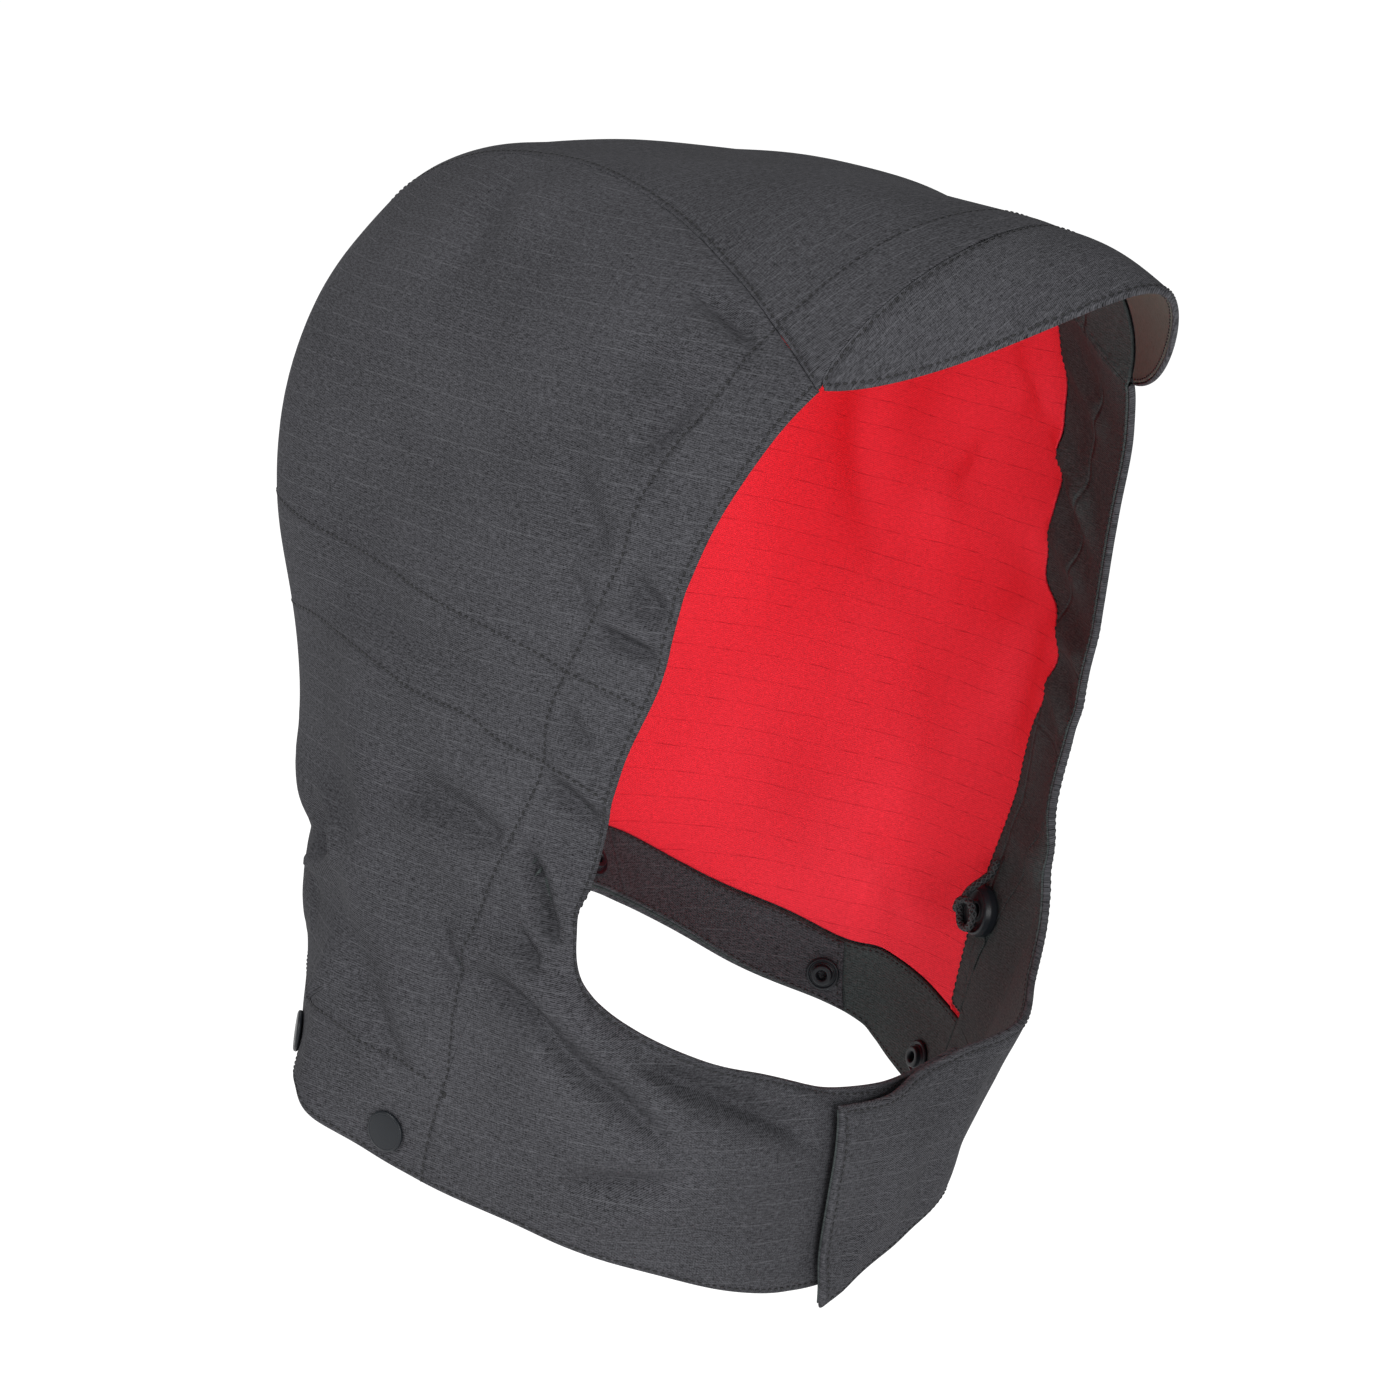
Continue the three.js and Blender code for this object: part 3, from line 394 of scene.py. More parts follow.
# Creases pressed into the cloth. Columns: depth, half width, lean, then places (around, down)
FOLDS = {
    "right": [
        # Across the right chin and its facing
        (3.6, 4.6, 0.3, [(0.427, 0.471), (0.375, 0.39), (0.29, 0.275), (0.231, 0.265),
            (0.192, 0.309), (0.152, 0.427)]),
        (2.8, 3.4, 0.2, [(0.477, 0.224), (0.429, 0.194), (0.387, 0.18), (0.333, 0.134)]),
        (1.8, 3.2, 0.0, [(0.407, 0.281), (0.375, 0.257), (0.339, 0.218)]),
        (3.0, 5.5, 0.2, [(0.213, 0.154), (0.17, 0.11), (0.128, 0.11), (0.076, 0.166),
            (0.05, 0.289)]),
        (2.2, 6.0, 0.0, [(0.253, 0.766), (0.194, 0.631), (0.142, 0.511)]),
        # Beside the facing stitching
        (3.0, 6.0, -0.3, [(0.629, 0.471), (0.571, 0.381), (0.523, 0.313), (0.489, 0.263)]),
        (1.5, 3.2, 0.2, [(0.49, 0.46), (0.455, 0.475), (0.428, 0.48)]),
        (1.2, 3.4, 0.0, [(0.495, 0.523), (0.457, 0.515), (0.435, 0.531)]),
        (1.4, 5.0, 0.0, [(0.547, 0.705), (0.507, 0.723), (0.477, 0.745), (0.439, 0.756)]),
        (-2.4, 6.0, 0.0, [(0.827, 0.737), (0.761, 0.693), (0.717, 0.695)]),
        (-2.2, 6.0, 0.0, [(0.864, 0.872), (0.805, 0.786), (0.701, 0.669)]),
        (2.2, 12.0, 0.0, [(0.741, 0.762), (0.595, 0.711), (0.547, 0.741)]),
        (2.6, 9.0, 0.0, [(0.94, 0.86), (0.875, 0.85), (0.82, 0.84)]),
        # Round the face opening
        (3.0, 2.8, 0.2, [(0.66, 0.11), (0.648, 0.06), (0.628, 0.01)]),
        (2.2, 4.0, 0.0, [(0.715, 0.075), (0.697, 0.045), (0.675, 0.012)]),
        (2.8, 3.4, 0.2, [(0.521, 0.162), (0.487, 0.098), (0.43, 0.02)]),
        (1.6, 3.4, 0.0, [(0.595, 0.138), (0.561, 0.106), (0.535, 0.072)]),
        (2.6, 8.0, 0.3, [(0.8, 0.205), (0.763, 0.154), (0.72, 0.11)]),
        (1.6, 5.0, 0.0, [(0.723, 0.172), (0.697, 0.142), (0.673, 0.114)]),
        (1.8, 5.0, 0.0, [(0.87, 0.074), (0.846, 0.09), (0.815, 0.106)]),
        (1.8, 4.0, 0.0, [(0.952, 0.11), (0.962, 0.075), (0.97, 0.046)]),
        (1.4, 8.0, 0.0, [(0.882, 0.162), (0.872, 0.11), (0.866, 0.06)]),
        # Upper back and the tunnels
        (1.8, 9.0, 0.0, [(0.985, 0.31), (0.944, 0.319), (0.915, 0.317)]),
        (1.4, 8.0, 0.0, [(0.821, 0.537), (0.765, 0.475), (0.685, 0.355), (0.615, 0.244)]),
    ],
    "left": [
        # Left side, seen from inside
        (2.6, 4.5, 0.0, [(0.812, 0.17), (0.789, 0.126), (0.754, 0.07)]),
        (2.0, 4.5, 0.0, [(0.785, 0.112), (0.76, 0.082), (0.727, 0.03)]),
        (2.6, 5.0, 0.0, [(0.737, 0.18), (0.704, 0.12), (0.669, 0.05)]),
        (2.6, 5.0, 0.0, [(0.644, 0.15), (0.613, 0.07), (0.586, 0.01)]),
        (2.4, 4.5, 0.0, [(0.59, 0.14), (0.549, 0.084), (0.497, 0.02)]),
        (2.0, 5.0, 0.0, [(0.89, 0.14), (0.865, 0.1), (0.847, 0.03)]),
        (2.0, 6.0, 0.0, [(0.471, 0.325), (0.409, 0.204), (0.303, 0.02)]),
        (-4.2, 12.0, 0.0, [(0.803, 0.421), (0.77, 0.4), (0.727, 0.33), (0.663, 0.24)]),
        (2.0, 7.0, 0.0, [(0.865, 0.22), (0.847, 0.188), (0.822, 0.176)]),
        (-2.4, 9.0, 0.0, [(0.671, 0.21), (0.599, 0.232), (0.564, 0.321)]),
        (-1.6, 5.0, 0.0, [(-0.015, 0.96), (0.01, 0.83), (0.027, 0.6)]),
        (1.8, 6.0, 0.0, [(0.064, 0.976), (0.06, 0.677), (0.074, 0.447)]),
        (1.6, 6.0, 0.0, [(0.13, 0.842), (0.124, 0.45), (0.144, 0.152)]),
        (2.0, 9.0, 0.0, [(0.9, 0.3), (0.86, 0.42), (0.8, 0.52)]),
        (2.2, 8.0, 0.0, [(0.74, 0.76), (0.64, 0.72), (0.55, 0.74)]),
    ],
}
FOLD_SAMPLES = 14
FOLD_DEPTH = {"right": 2.2, "left": 0.8}  # times the depths above
FOLD_CREASE = {"right": 0.45, "left": 0.0}  # share of a fold that is a narrow sharp crease
# Slow swell of the whole cloth. Columns: height, then turns per metre along x, y and z, and phase
SWELLS = [
    (0.55, 9.0, 6.0, 3.0, 0.4),
    (0.45, -5.0, 11.0, 7.0, 2.1),
    (0.35, 12.0, -4.0, 12.0, 4.0),
    (0.3, 4.0, 15.0, -9.0, 1.2),
    (0.22, -16.0, 9.0, 15.0, 5.2),
]
DEEPEST = 5.6
INNER_SINK = 1.25
FAR = 60.0  # millimetres at which a line or a point has no effect
CALM_RADIUS = 13.0  # the cloth lies flat this far round a snap
# Shape of a fold: the share of its length over which it fades, and shares of its half width
FOLD_SPAN = 0.42
CREASE_WIDTH = 0.45
SWELLING_PLACE = 2.1
SWELLING_WIDTH = 1.3


def fold_line(side, places):
    """Samples of one crease: points, directions along it, and directions across it in the cloth."""
    table = [(i / (len(places) - 1), *place) for i, place in enumerate(places)]
    spots = Curve(table)(np.linspace(0, 1, FOLD_SAMPLES))
    point, normal = cloth(side, spots[:, 0], spots[:, 1])
    along = unit(np.gradient(point, axis=0))
    return point, along, unit(np.cross(normal, along))


FOLD_LINES = [
    (depth * FOLD_DEPTH[side], FOLD_CREASE[side], width, lean, *fold_line(side, places))
    for side, rows in FOLDS.items()
    for depth, width, lean, places in rows
]
CALM_POINTS = [
    cloth_spot(side, around, down)[0] for around, down, _ in SNAPS for side in ("right", "left")
] + [cloth_spot("left", *LOCK_PLACE)[0]]
PEAK_ROOT = peak_seam(np.linspace(0.0, math.pi, 40)) * np.array([-1.0, 1.0, 1.0])


def relief(point):
    """Height of the creases at bare points of the cloth, in millimetres.

    Each crease is a bell-shaped hollow across its line with a lower swelling on both sides, larger
    on the side that it leans to, and fades to its ends. Slow sines in space are added, and all of
    it fades out close to each snap.
    """
    flat = point.reshape(-1, 3)
    height = np.zeros(len(flat))
    for depth, crease, width, lean, spots, along, across in FOLD_LINES:
        length = length_of(np.diff(spots, axis=0)).sum()
        near = length_of(flat - spots.mean(0)) < length / 2 + 4 * width
        away = flat[near][:, None, :] - spots[None]
        nearest = np.argmin((away**2).sum(-1), 1)
        gap = away[np.arange(len(away)), nearest]
        aside = (gap * across[nearest]).sum(-1)
        ahead = (gap * along[nearest]).sum(-1)
        share = (nearest + ahead / (length / (FOLD_SAMPLES - 1))) / (FOLD_SAMPLES - 1)
        fade = bell((share - 0.5) / FOLD_SPAN, 4)
        hollow = (1 - crease) * bell(aside / width) + crease * bell(aside / (CREASE_WIDTH * width))
        swelling = bell((np.abs(aside) - SWELLING_PLACE * width) / (SWELLING_WIDTH * width))
        height[near] += depth * fade * ((0.5 + lean * np.tanh(aside / width)) * swelling - hollow)
    height = DEEPEST * np.tanh(height / DEEPEST)
    for size, *turns, phase in SWELLS:
        height += size * np.sin(2 * math.pi * (flat @ np.array(turns)) / 1000 + phase)
    for centre in CALM_POINTS:
        height *= 1 - bell(length_of(flat - centre) / CALM_RADIUS, 4)
    # The cloth also lies flat where it is sewn to the stiff peak
    gap = np.min([length_of(flat - spot) for spot in PEAK_ROOT], axis=0, initial=FAR)
    height *= 1 - bell(gap / CALM_RADIUS)
    return height.reshape(point.shape[:-1])


def layer_relief(point, depth):
    """Relief of a layer at a depth: inner layers sink further in each hollow."""
    height = relief(point)
    return np.where(height < 0, INNER_SINK * height, height) if depth >= LINING_TOP else height


def surface(side, around, down, depth):
    """Points of the creased cloth at a depth inside its outer face, and its outward directions."""
    point, normal = cloth(side, around, down)
    return point + normal * (layer_relief(point, depth) - depth)[..., None], normal


def to_metres(point):
    """From the cloth's own millimetres to the row frame."""
    return (point - ORIGIN) / 1000


def line_distance(value, slope_around, slope_down, along, across):
    """Signed distance to where value is 0: the value over its steepest slope on the cloth."""
    e, f, g = (along**2).sum(-1), (along * across).sum(-1), (across**2).sum(-1)
    steep = g * slope_around**2 - 2 * f * slope_around * slope_down + e * slope_down**2
    return value / np.sqrt(np.maximum(steep / np.maximum(e * g - f * f, 1e-9), 1e-12))


# Distances in millimetres from an edge at which the mesh has its first rows
EDGE_STEPS = np.array([0.0, 0.04, 0.18, 0.42, 0.75, 1.05, 1.25, 1.8, 2.8])


def spread(start, end, start_speed, end_speed, count):
    """Places from start to end with close steps beside both, as rows of one array."""
    first = start[:, None] + EDGE_STEPS[None] / start_speed[:, None]
    last = end[:, None] - EDGE_STEPS[None, ::-1] / end_speed[:, None]
    share = np.linspace(0, 1, count + 2)[None, 1:-1]
    middle = first[:, -1:] + (last[:, :1] - first[:, -1:]) * share
    return np.concatenate([first, middle, last], 1)


def cloth_grid(side, start, end, top, foot, columns, rows, inset=0.0):
    """Grid of places on the cloth, and the distance of each to its four edges in millimetres.

    The columns run from start to end, and the rows from top to foot, each held in by the inset.
    The end of the flap slants from its upper place to its tip.
    """
    ends = np.array([[start], [end]])
    around = spread(*ends, *pace(side, ends, 0.5, 0), columns)[0]
    upper, lower = top(around), foot(around)
    first, last = pace(side, around, upper, 1), pace(side, around, lower, 1)
    down = spread(upper + inset / first, lower - inset / last, first, last, rows)
    grid = np.broadcast_to(around[:, None], down.shape)
    along, across = speeds(side, grid, down)
    edges = {
        "start": (grid - start) * length_of(along),
        "end": (end - grid) * length_of(along),
        "top": (down - down[:, :1]) * length_of(across),
        "foot": (down[:, -1:] - down) * length_of(across),
    }
    if side == "left" and start == FLAP_TOP:
        slant = (FLAP_TIP - FLAP_TOP) * down * (1 - smooth_step(grid, FLAP_TOP, SLANT_END))
        grid = grid + slant
    return grid, down, edges, along, across


def rounding(distance, radius):
    """Share of the full thickness near an edge that is rounded to a radius: a quarter circle."""
    t = np.clip(distance / radius, 0, 1)
    return np.sqrt(np.maximum(1 - (1 - t) ** 2, 0))


# Flat cloth, in millimetres: the upright axis that the sides turn about, the heights between
# which they go over to plain depth, their lean, and the axis through the ears for the centre
SIDE_AXIS_BACK = 20.0
SIDE_RADIUS = 125.0
FLAT_FROM, FLAT_TO = 170.0, 290.0
LEAN_FROM, LEAN_REACH, LEAN_RADIUS = 200.0, 124.0, 120.0
EAR_FORWARD, EAR_HEIGHT, EAR_RADIUS = 20.0, 175.0, 135.0


def weave_uv(point, centre=False):
    """Place on the flat cloth in metres.

    Across is the turn about an upright axis times a radius, and turns to plain depth near the
    crown. Up is the height, stretched by an arc sine where the cloth leans over. On the centre
    panel across is the width, and up is the turn about an axis through the ears.
    """
    x, y, z = np.moveaxis(point, -1, 0)
    if centre:
        turn = np.arctan2(y + EAR_FORWARD, z - EAR_HEIGHT)
        return np.stack([x, EAR_RADIUS * turn], -1) / 1000
    back = y - SIDE_AXIS_BACK
    turn = np.arctan2(back, np.abs(x)) * SIDE_RADIUS
    across = turn + (back - turn) * smooth_step(z, FLAT_FROM, FLAT_TO)
    lean = np.arcsin(np.clip((z - LEAN_FROM) / LEAN_REACH, -1, 1)) * LEAN_RADIUS + LEAN_FROM
    return np.stack([across, np.where(z > LEAN_FROM, lean, z)], -1) / 1000


def closed_sheet(outer, inner):
    """Vertices and quads of a sheet whose two faces share their rim."""
    columns, rows = outer.shape[:2]
    count = columns * rows
    front = np.arange(count).reshape(columns, rows)
    back = front.copy()
    back[1:-1, 1:-1] = count + np.arange((columns - 2) * (rows - 2)).reshape(columns - 2, rows - 2)
    vertices = np.concatenate([outer.reshape(-1, 3), inner[1:-1, 1:-1].reshape(-1, 3)])

    def quads(ids):
        return np.stack([ids[:-1, :-1], ids[1:, :-1], ids[1:, 1:], ids[:-1, 1:]], -1).reshape(-1, 4)

    return vertices, np.concatenate([quads(front), quads(back)[:, ::-1]])


def both(values):
    """Values of a grid for the two faces of a closed sheet, in the order of its vertices."""
    width = values.shape[-1]
    return np.concatenate([values.reshape(-1, width), values[1:-1, 1:-1].reshape(-1, width)])


def add_object(name, data):
    """Adds an object to the scene."""
    made = bpy.data.objects.new(name, data)
    bpy.context.scene.collection.objects.link(made)
    return made


def new_mesh(name, vertices, faces):
    """Object from arrays, smooth, its faces turned outwards by the sign of its volume."""
    corners = faces.shape[1]
    first, *others = (vertices[faces[:, k]] for k in range(corners))
    if sum((first * np.cross(b, c)).sum() for b, c in zip(others, others[1:])) < 0:
        faces = faces[:, ::-1]
    mesh = bpy.data.meshes.new(name)
    mesh.vertices.add(len(vertices))
    mesh.vertices.foreach_set("co", np.ascontiguousarray(vertices, np.float32).ravel())
    mesh.loops.add(faces.size)
    mesh.loops.foreach_set("vertex_index", np.ascontiguousarray(faces, np.int32).ravel())
    mesh.polygons.add(len(faces))
    mesh.polygons.foreach_set("loop_start", np.arange(0, faces.size, corners, dtype=np.int32))
    mesh.polygons.foreach_set("loop_total", np.full(len(faces), corners, np.int32))
    mesh.update(calc_edges=True)
    mesh.polygons.foreach_set("use_smooth", np.ones(len(faces), bool))
    mesh.validate()
    return add_object(name, mesh)


def set_uv(piece, places):
    """Writes one place on the flat cloth for each vertex to every corner that uses it."""
    mesh = piece.data
    corner = np.empty(len(mesh.loops), np.int32)
    mesh.loops.foreach_get("vertex_index", corner)
    layer = mesh.uv_layers.new(name="weave")
    layer.uv.foreach_set("vector", np.ascontiguousarray(places[corner], np.float32).ravel())


def set_value(piece, name, values):
    """Stores one vector for each vertex under a name that the materials read."""
    layer = piece.data.attributes.new(name, "FLOAT_VECTOR", "POINT")
    layer.data.foreach_set("vector", np.ascontiguousarray(values, np.float32).ravel())


def finish_piece(piece, name, *nodes, slot=None):
    """Gives a piece its material and its body, and hides the solids that it stands for; the slot is
    not used.
    """
    piece.data.materials.append(material(name))
    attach(piece, "root")
    if nodes:
        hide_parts(*nodes)
    return piece


def seam_distances(grid, down, edges, along, across, free):
    """Signed distances in millimetres to the sewn lines, in two vectors for the material."""
    place = folded(grid)
    sign = np.where(grid > MIDDLE, -1.0, 1.0)

    def line(curve, low):
        at = np.maximum(place, low)
        value = down - curve(at)[..., 0]
        slope = -(curve(at + STEP) - curve(at - STEP))[..., 0] / (2 * STEP) * sign
        gap = line_distance(value, slope, np.ones_like(value), along, across)
        return np.where(place < low, np.where(value < 0, -FAR, FAR), gap)

    edge = np.full(grid.shape, FAR)
    for name in free:
        edge = np.minimum(edge, edges[name])
    from_turn = (place - FACING_TURN) * length_of(along)
    beside = (down > facing_line(FACING_TURN)[0]) & (place < FACING_TURN + TURN_REACH)
    facing = np.where(beside, from_turn, line(facing_line, FACING_TURN))
    first = [line(upper_tunnel, UPPER_START), line(lower_tunnel, LOWER_START), facing]
    crown = (place - CROWN_SEAM) * length_of(along)
    return np.stack(first, -1), np.stack([edge, crown, line(band_line, FACING_TURN)], -1)


ROLL_EDGE = (0.95, 1.15)  # the turned-over cloth ends between these distances from its edge


def layer_mesh(name, point, normal, lift, top, deep, share):
    """Closed sheet between two depths under lifted points, its thickness times the share."""
    middle, half = (top + deep) / 2, (deep - top) / 2
    faces = (point + normal * (lift - middle + sign * half * share)[..., None] for sign in (1, -1))
    return new_mesh(name, *closed_sheet(*(to_metres(face) for face in faces)))


def set_weave(piece, flat, first, second):
    """Stores the places on the flat cloth and the distances to its sewn lines."""
    set_uv(piece, both(flat))
    set_value(piece, "seams_one", both(first))
    set_value(piece, "seams_two", both(second))


def cloth_piece(name, side, bounds, counts, layer, radius, finish, inset=0.0, free=(), roll=0.0):
    """One closed layer of cloth between two depths, inside bounds of start, end, top and foot.

    Its edges are rounded to the radius. At the free edges the layer swells inwards to the roll
    depth, as cloth does that is turned over there. The finish is its material and its solid.
    """
    grid, down, edges, along, across = cloth_grid(side, *bounds, *counts, inset)
    top, foot = layer
    point, normal = cloth(side, grid, down)
    share, swell = np.ones(grid.shape), np.zeros(grid.shape)
    for key, distance in edges.items():
        edge_radius = max(radius, roll / 2) if key in free else radius
        share = np.minimum(share, rounding(distance, edge_radius))
        if key in free:
            swell = np.maximum(swell, 1 - smooth_step(distance, *ROLL_EDGE))
    deep = foot + max(roll - foot, 0) * swell
    piece = layer_mesh(name, point, normal, layer_relief(point, top), top, deep, share)
    seams = seam_distances(grid, down, edges, along, across, free)
    set_weave(piece, weave_uv(point, name == "shell_centre"), *seams)
    return finish_piece(piece, *finish)


# Materials
def linear(code):
    """Linear colour of an sRGB hex value."""
    share = np.array([(code >> shift & 255) / 255 for shift in (16, 8, 0)])
    value = np.where(share <= 0.04045, share / 12.92, ((share + 0.055) / 1.055) ** 2.4)
    return (*value.tolist(), 1.0)


def set_inputs(tree, made, inputs):
    """Sets or links inputs of a node by name or number."""
    for key, value in inputs.items():
        socket = made.inputs[key]
        if isinstance(value, bpy.types.NodeSocket):
            tree.links.new(value, socket)
        else:
            socket.default_value = value


def node(tree, kind, inputs=None, **settings):
    """Adds a node, sets its properties, and sets or links its inputs."""
    made = tree.nodes.new(kind)
    for key, value in settings.items():
        setattr(made, key, value)
    set_inputs(tree, made, inputs or {})
    return made


def new_material(name):
    """An empty node material with its shader and output."""
    material = bpy.data.materials.new(name)
    material.use_nodes = True
    tree = material.node_tree
    tree.nodes.clear()
    shader = node(tree, "ShaderNodeBsdfPrincipled")
    node(tree, "ShaderNodeOutputMaterial", {"Surface": shader.outputs[0]})
    return material, tree, shader


def maths(tree, operation, first, second=0.0, third=0.0):
    """One Math node's result."""
    inputs = {0: first, 1: second, 2: third}
    return node(tree, "ShaderNodeMath", inputs, operation=operation).outputs[0]


def ramp(tree, value, low, high, to_low=0.0, to_high=1.0):
    """Smooth change from one number to another as the value goes from low to high."""
    inputs = {0: value, 1: low, 2: high, 3: to_low, 4: to_high}
    made = node(tree, "ShaderNodeMapRange", inputs, interpolation_type="SMOOTHSTEP")
    return made.outputs[0]


def total(tree, terms, start=0.0):
    """Sum of each value times its weight."""
    for value, weight in terms:
        start = maths(tree, "MULTIPLY_ADD", value, weight, start)
    return start


def noise(tree, place, scale, detail=2.0, **more):
    """Noise at a number of cells for each unit of the place."""
    inputs = {"Vector": place, "Scale": scale, "Detail": detail, **more}
    return node(tree, "ShaderNodeTexNoise", inputs).outputs[0]


def stretched(tree, place, *scale):
    """The place times a scale on each axis."""
    return node(tree, "ShaderNodeMapping", {0: place, "Scale": scale}).outputs[0]


def mixed(tree, share, first, second):
    """Colour at a share of the way from the first to the second."""
    inputs = {0: share, 6: first, 7: second}
    return node(tree, "ShaderNodeMix", inputs, data_type="RGBA").outputs[2]


def toned(colour, factor):
    """The colour times a factor, no brighter than white."""
    return tuple(min(1.0, share * factor) for share in colour[:3]) + (1.0,)


def bumped(tree, height, depth, strength=1.0, **settings):
    """Direction of the surface with a height of so many metres pressed into it."""
    inputs = {"Strength": strength, "Distance": depth, "Height": height}
    return node(tree, "ShaderNodeBump", inputs, **settings).outputs[0]


def parted(tree, vector):
    """The three parts of a vector."""
    return list(node(tree, "ShaderNodeSeparateXYZ", {0: vector}).outputs)


def weave_place(tree):
    """Place on the flat piece."""
    return node(tree, "ShaderNodeUVMap", uv_map="weave").outputs[0]


def object_place(tree):
    """Place in the piece's own metres."""
    return node(tree, "ShaderNodeTexCoord").outputs["Object"]


# Weave, in millimetres unless a comment says otherwise
WANDER = 1.2
WANDER_CELLS = 0.05  # a millimetre, as are the other cells
RIB_WIDTH = 0.35
UPRIGHT_RIB = 0.25  # strength next to the level ribs
BREAK_CELLS = 0.11
TWILL_SLANT = 1.7
FIBRE_CELLS = 1.7
THREAD_CELLS = (0.4, 2.0)
CLOUD_CELLS = 0.02
RIB_HEIGHT = 0.1
TWILL_HEIGHT = 0.018
THREAD_HEIGHT = 0.05
EDGE_STITCH_IN = 2.2
TOPSTITCH_IN = 2.4
GROOVE_WIDTH, GROOVE_HEIGHT, GROOVE_PAINTED_SHADE = 1.4, -0.4, 0.06  # the last is a share of painted shade that darkens the colour in the seam grooves
PUCKER_FROM, PUCKER_TO, PUCKER_CELLS, PUCKER_HEIGHT = 1.0, 11.0, 0.16, 1.1


def woven(name, colour, rib_colour, rib_pitch, rib_share, thread_pitch, heather, seams=True):
    """Woven ripstop cloth.

    Fine diagonal threads, a raised square of doubled threads at the rib pitch, an uneven dye,
    and, where the piece has seam distances, the grooves and puckers beside its sewn lines,
    with painted shade darkening the colour in each groove.
    """
    material, tree, shader = new_material(name)
    place = stretched(tree, weave_place(tree), 1000, 1000, 1000)
    wander = noise(tree, place, WANDER_CELLS, 1.0)
    u, v, _ = parted(tree, place)
    u, v = total(tree, [(wander, WANDER)], u), total(tree, [(wander, -WANDER)], v)
    upright, level = (
        ramp(tree, maths(tree, "PINGPONG", across, rib_pitch / 2), 0.0, RIB_WIDTH, 1.0, 0.0)
        for across in (u, v)
    )
    rib = maths(tree, "MAXIMUM", maths(tree, "MULTIPLY", upright, UPRIGHT_RIB), level)
    # Long slow breaks keep the doubled threads from reading as ruled lines
    broken = ramp(tree, noise(tree, place, BREAK_CELLS), 0.35, 0.65, 0.15, 1.0)
    rib = maths(tree, "MULTIPLY", rib, broken)
    # Threads too fine to show are drawn about twice as coarse, so that they still read as twill
    slant = total(tree, [(v, TWILL_SLANT)], u)
    twill = maths(tree, "SINE", maths(tree, "MULTIPLY", slant, 2 * math.pi / thread_pitch))
    coarse, close = THREAD_CELLS
    fibre = noise(tree, place, FIBRE_CELLS, Roughness=0.7)
    weft = noise(tree, stretched(tree, place, coarse, close, 1.0), 1.0)
    warp = noise(tree, stretched(tree, place, close, coarse, 1.0), 1.0)
    cloud = maths(tree, "SUBTRACT", noise(tree, place, CLOUD_CELLS), 0.5)
    # Share of each in the heathered dye
    parts = [(fibre, 0.5), (weft, 0.45), (warp, 0.25), (twill, 0.08), (cloud, 0.12)]
    mix = total(tree, parts)
    base = linear(colour)
    deep, pale = toned(base, 1 - 0.6 * heather), toned(base, 1 + heather)
    tone = mixed(tree, ramp(tree, mix, 0.3, 0.92), deep, pale)
    tone = mixed(tree, maths(tree, "MULTIPLY", rib, rib_share), tone, linear(rib_colour))
    height = total(tree, [(rib, RIB_HEIGHT), (twill, TWILL_HEIGHT), (mix, THREAD_HEIGHT)])
    if seams:
        gaps = []
        for layer in ("seams_one", "seams_two"):
            stored = node(tree, "ShaderNodeAttribute", attribute_name=layer).outputs["Vector"]
            gaps += parted(tree, stored)
        stitched = FAR
        for gap, off in zip(gaps, (0.0, 0.0, 0.0, EDGE_STITCH_IN, TOPSTITCH_IN, 0.0)):
            away = maths(tree, "ABSOLUTE", maths(tree, "SUBTRACT", gap, off))
            stitched = maths(tree, "MINIMUM", stitched, away)
        groove = ramp(tree, stitched, 0.0, GROOVE_WIDTH, 1.0, 0.0)
        reach = ramp(tree, stitched, PUCKER_FROM, PUCKER_TO, 1.0, 0.0)
        pucker = maths(tree, "MULTIPLY", noise(tree, place, PUCKER_CELLS, 1.0), reach)
        height = total(tree, [(groove, GROOVE_HEIGHT), (pucker, PUCKER_HEIGHT)], height)
        # Painted shade: along each seam groove the colour darkens towards a third of the cloth's
        # own
        tone = mixed(tree, maths(tree, "MULTIPLY", groove, GROOVE_PAINTED_SHADE), tone, toned(base, 0.35))
    looks = {"Base Color": tone, "Roughness": 0.92, "Specular IOR Level": 0.12}
    set_inputs(tree, shader, {**looks, "Normal": bumped(tree, height, 0.001)})
    return material


def moulded(name, colour, roughness):
    """Moulded nylon: a satin skin with a faint pebbled grain."""
    material, tree, shader = new_material(name)
    place = object_place(tree)
    cloud = noise(tree, place, 160.0)
    base = linear(colour)
    looks = {
        "Base Color": mixed(tree, cloud, base, toned(base, 1.5)),
        "Roughness": maths(tree, "MULTIPLY_ADD", cloud, 0.12, roughness - 0.06),
        "Specular IOR Level": 0.28,
        "Normal": bumped(tree, noise(tree, place, 2600.0), 0.0001, 0.5),
    }
    set_inputs(tree, shader, looks)
    return material


def spun(name, colour):
    """Spun polyester thread: two plies twisted, dull, with a painted highlight as lighter diagonal
    bands along the plies.
    """
    material, tree, shader = new_material(name)
    inputs = {"Vector": object_place(tree), "Scale": 900.0, "Distortion": 2.0}
    ply_highlight = node(tree, "ShaderNodeTexWave", inputs, bands_direction="DIAGONAL").outputs[1]
    base = linear(colour)
    # Painted highlight: the colour is up to 1.9 times lighter along the diagonal bands of the plies
    tone = mixed(tree, ply_highlight, base, toned(base, 1.9))
    set_inputs(tree, shader, {"Base Color": tone, "Roughness": 0.7})
    return material


YARN_PITCH = 2.2
YARNS = 4


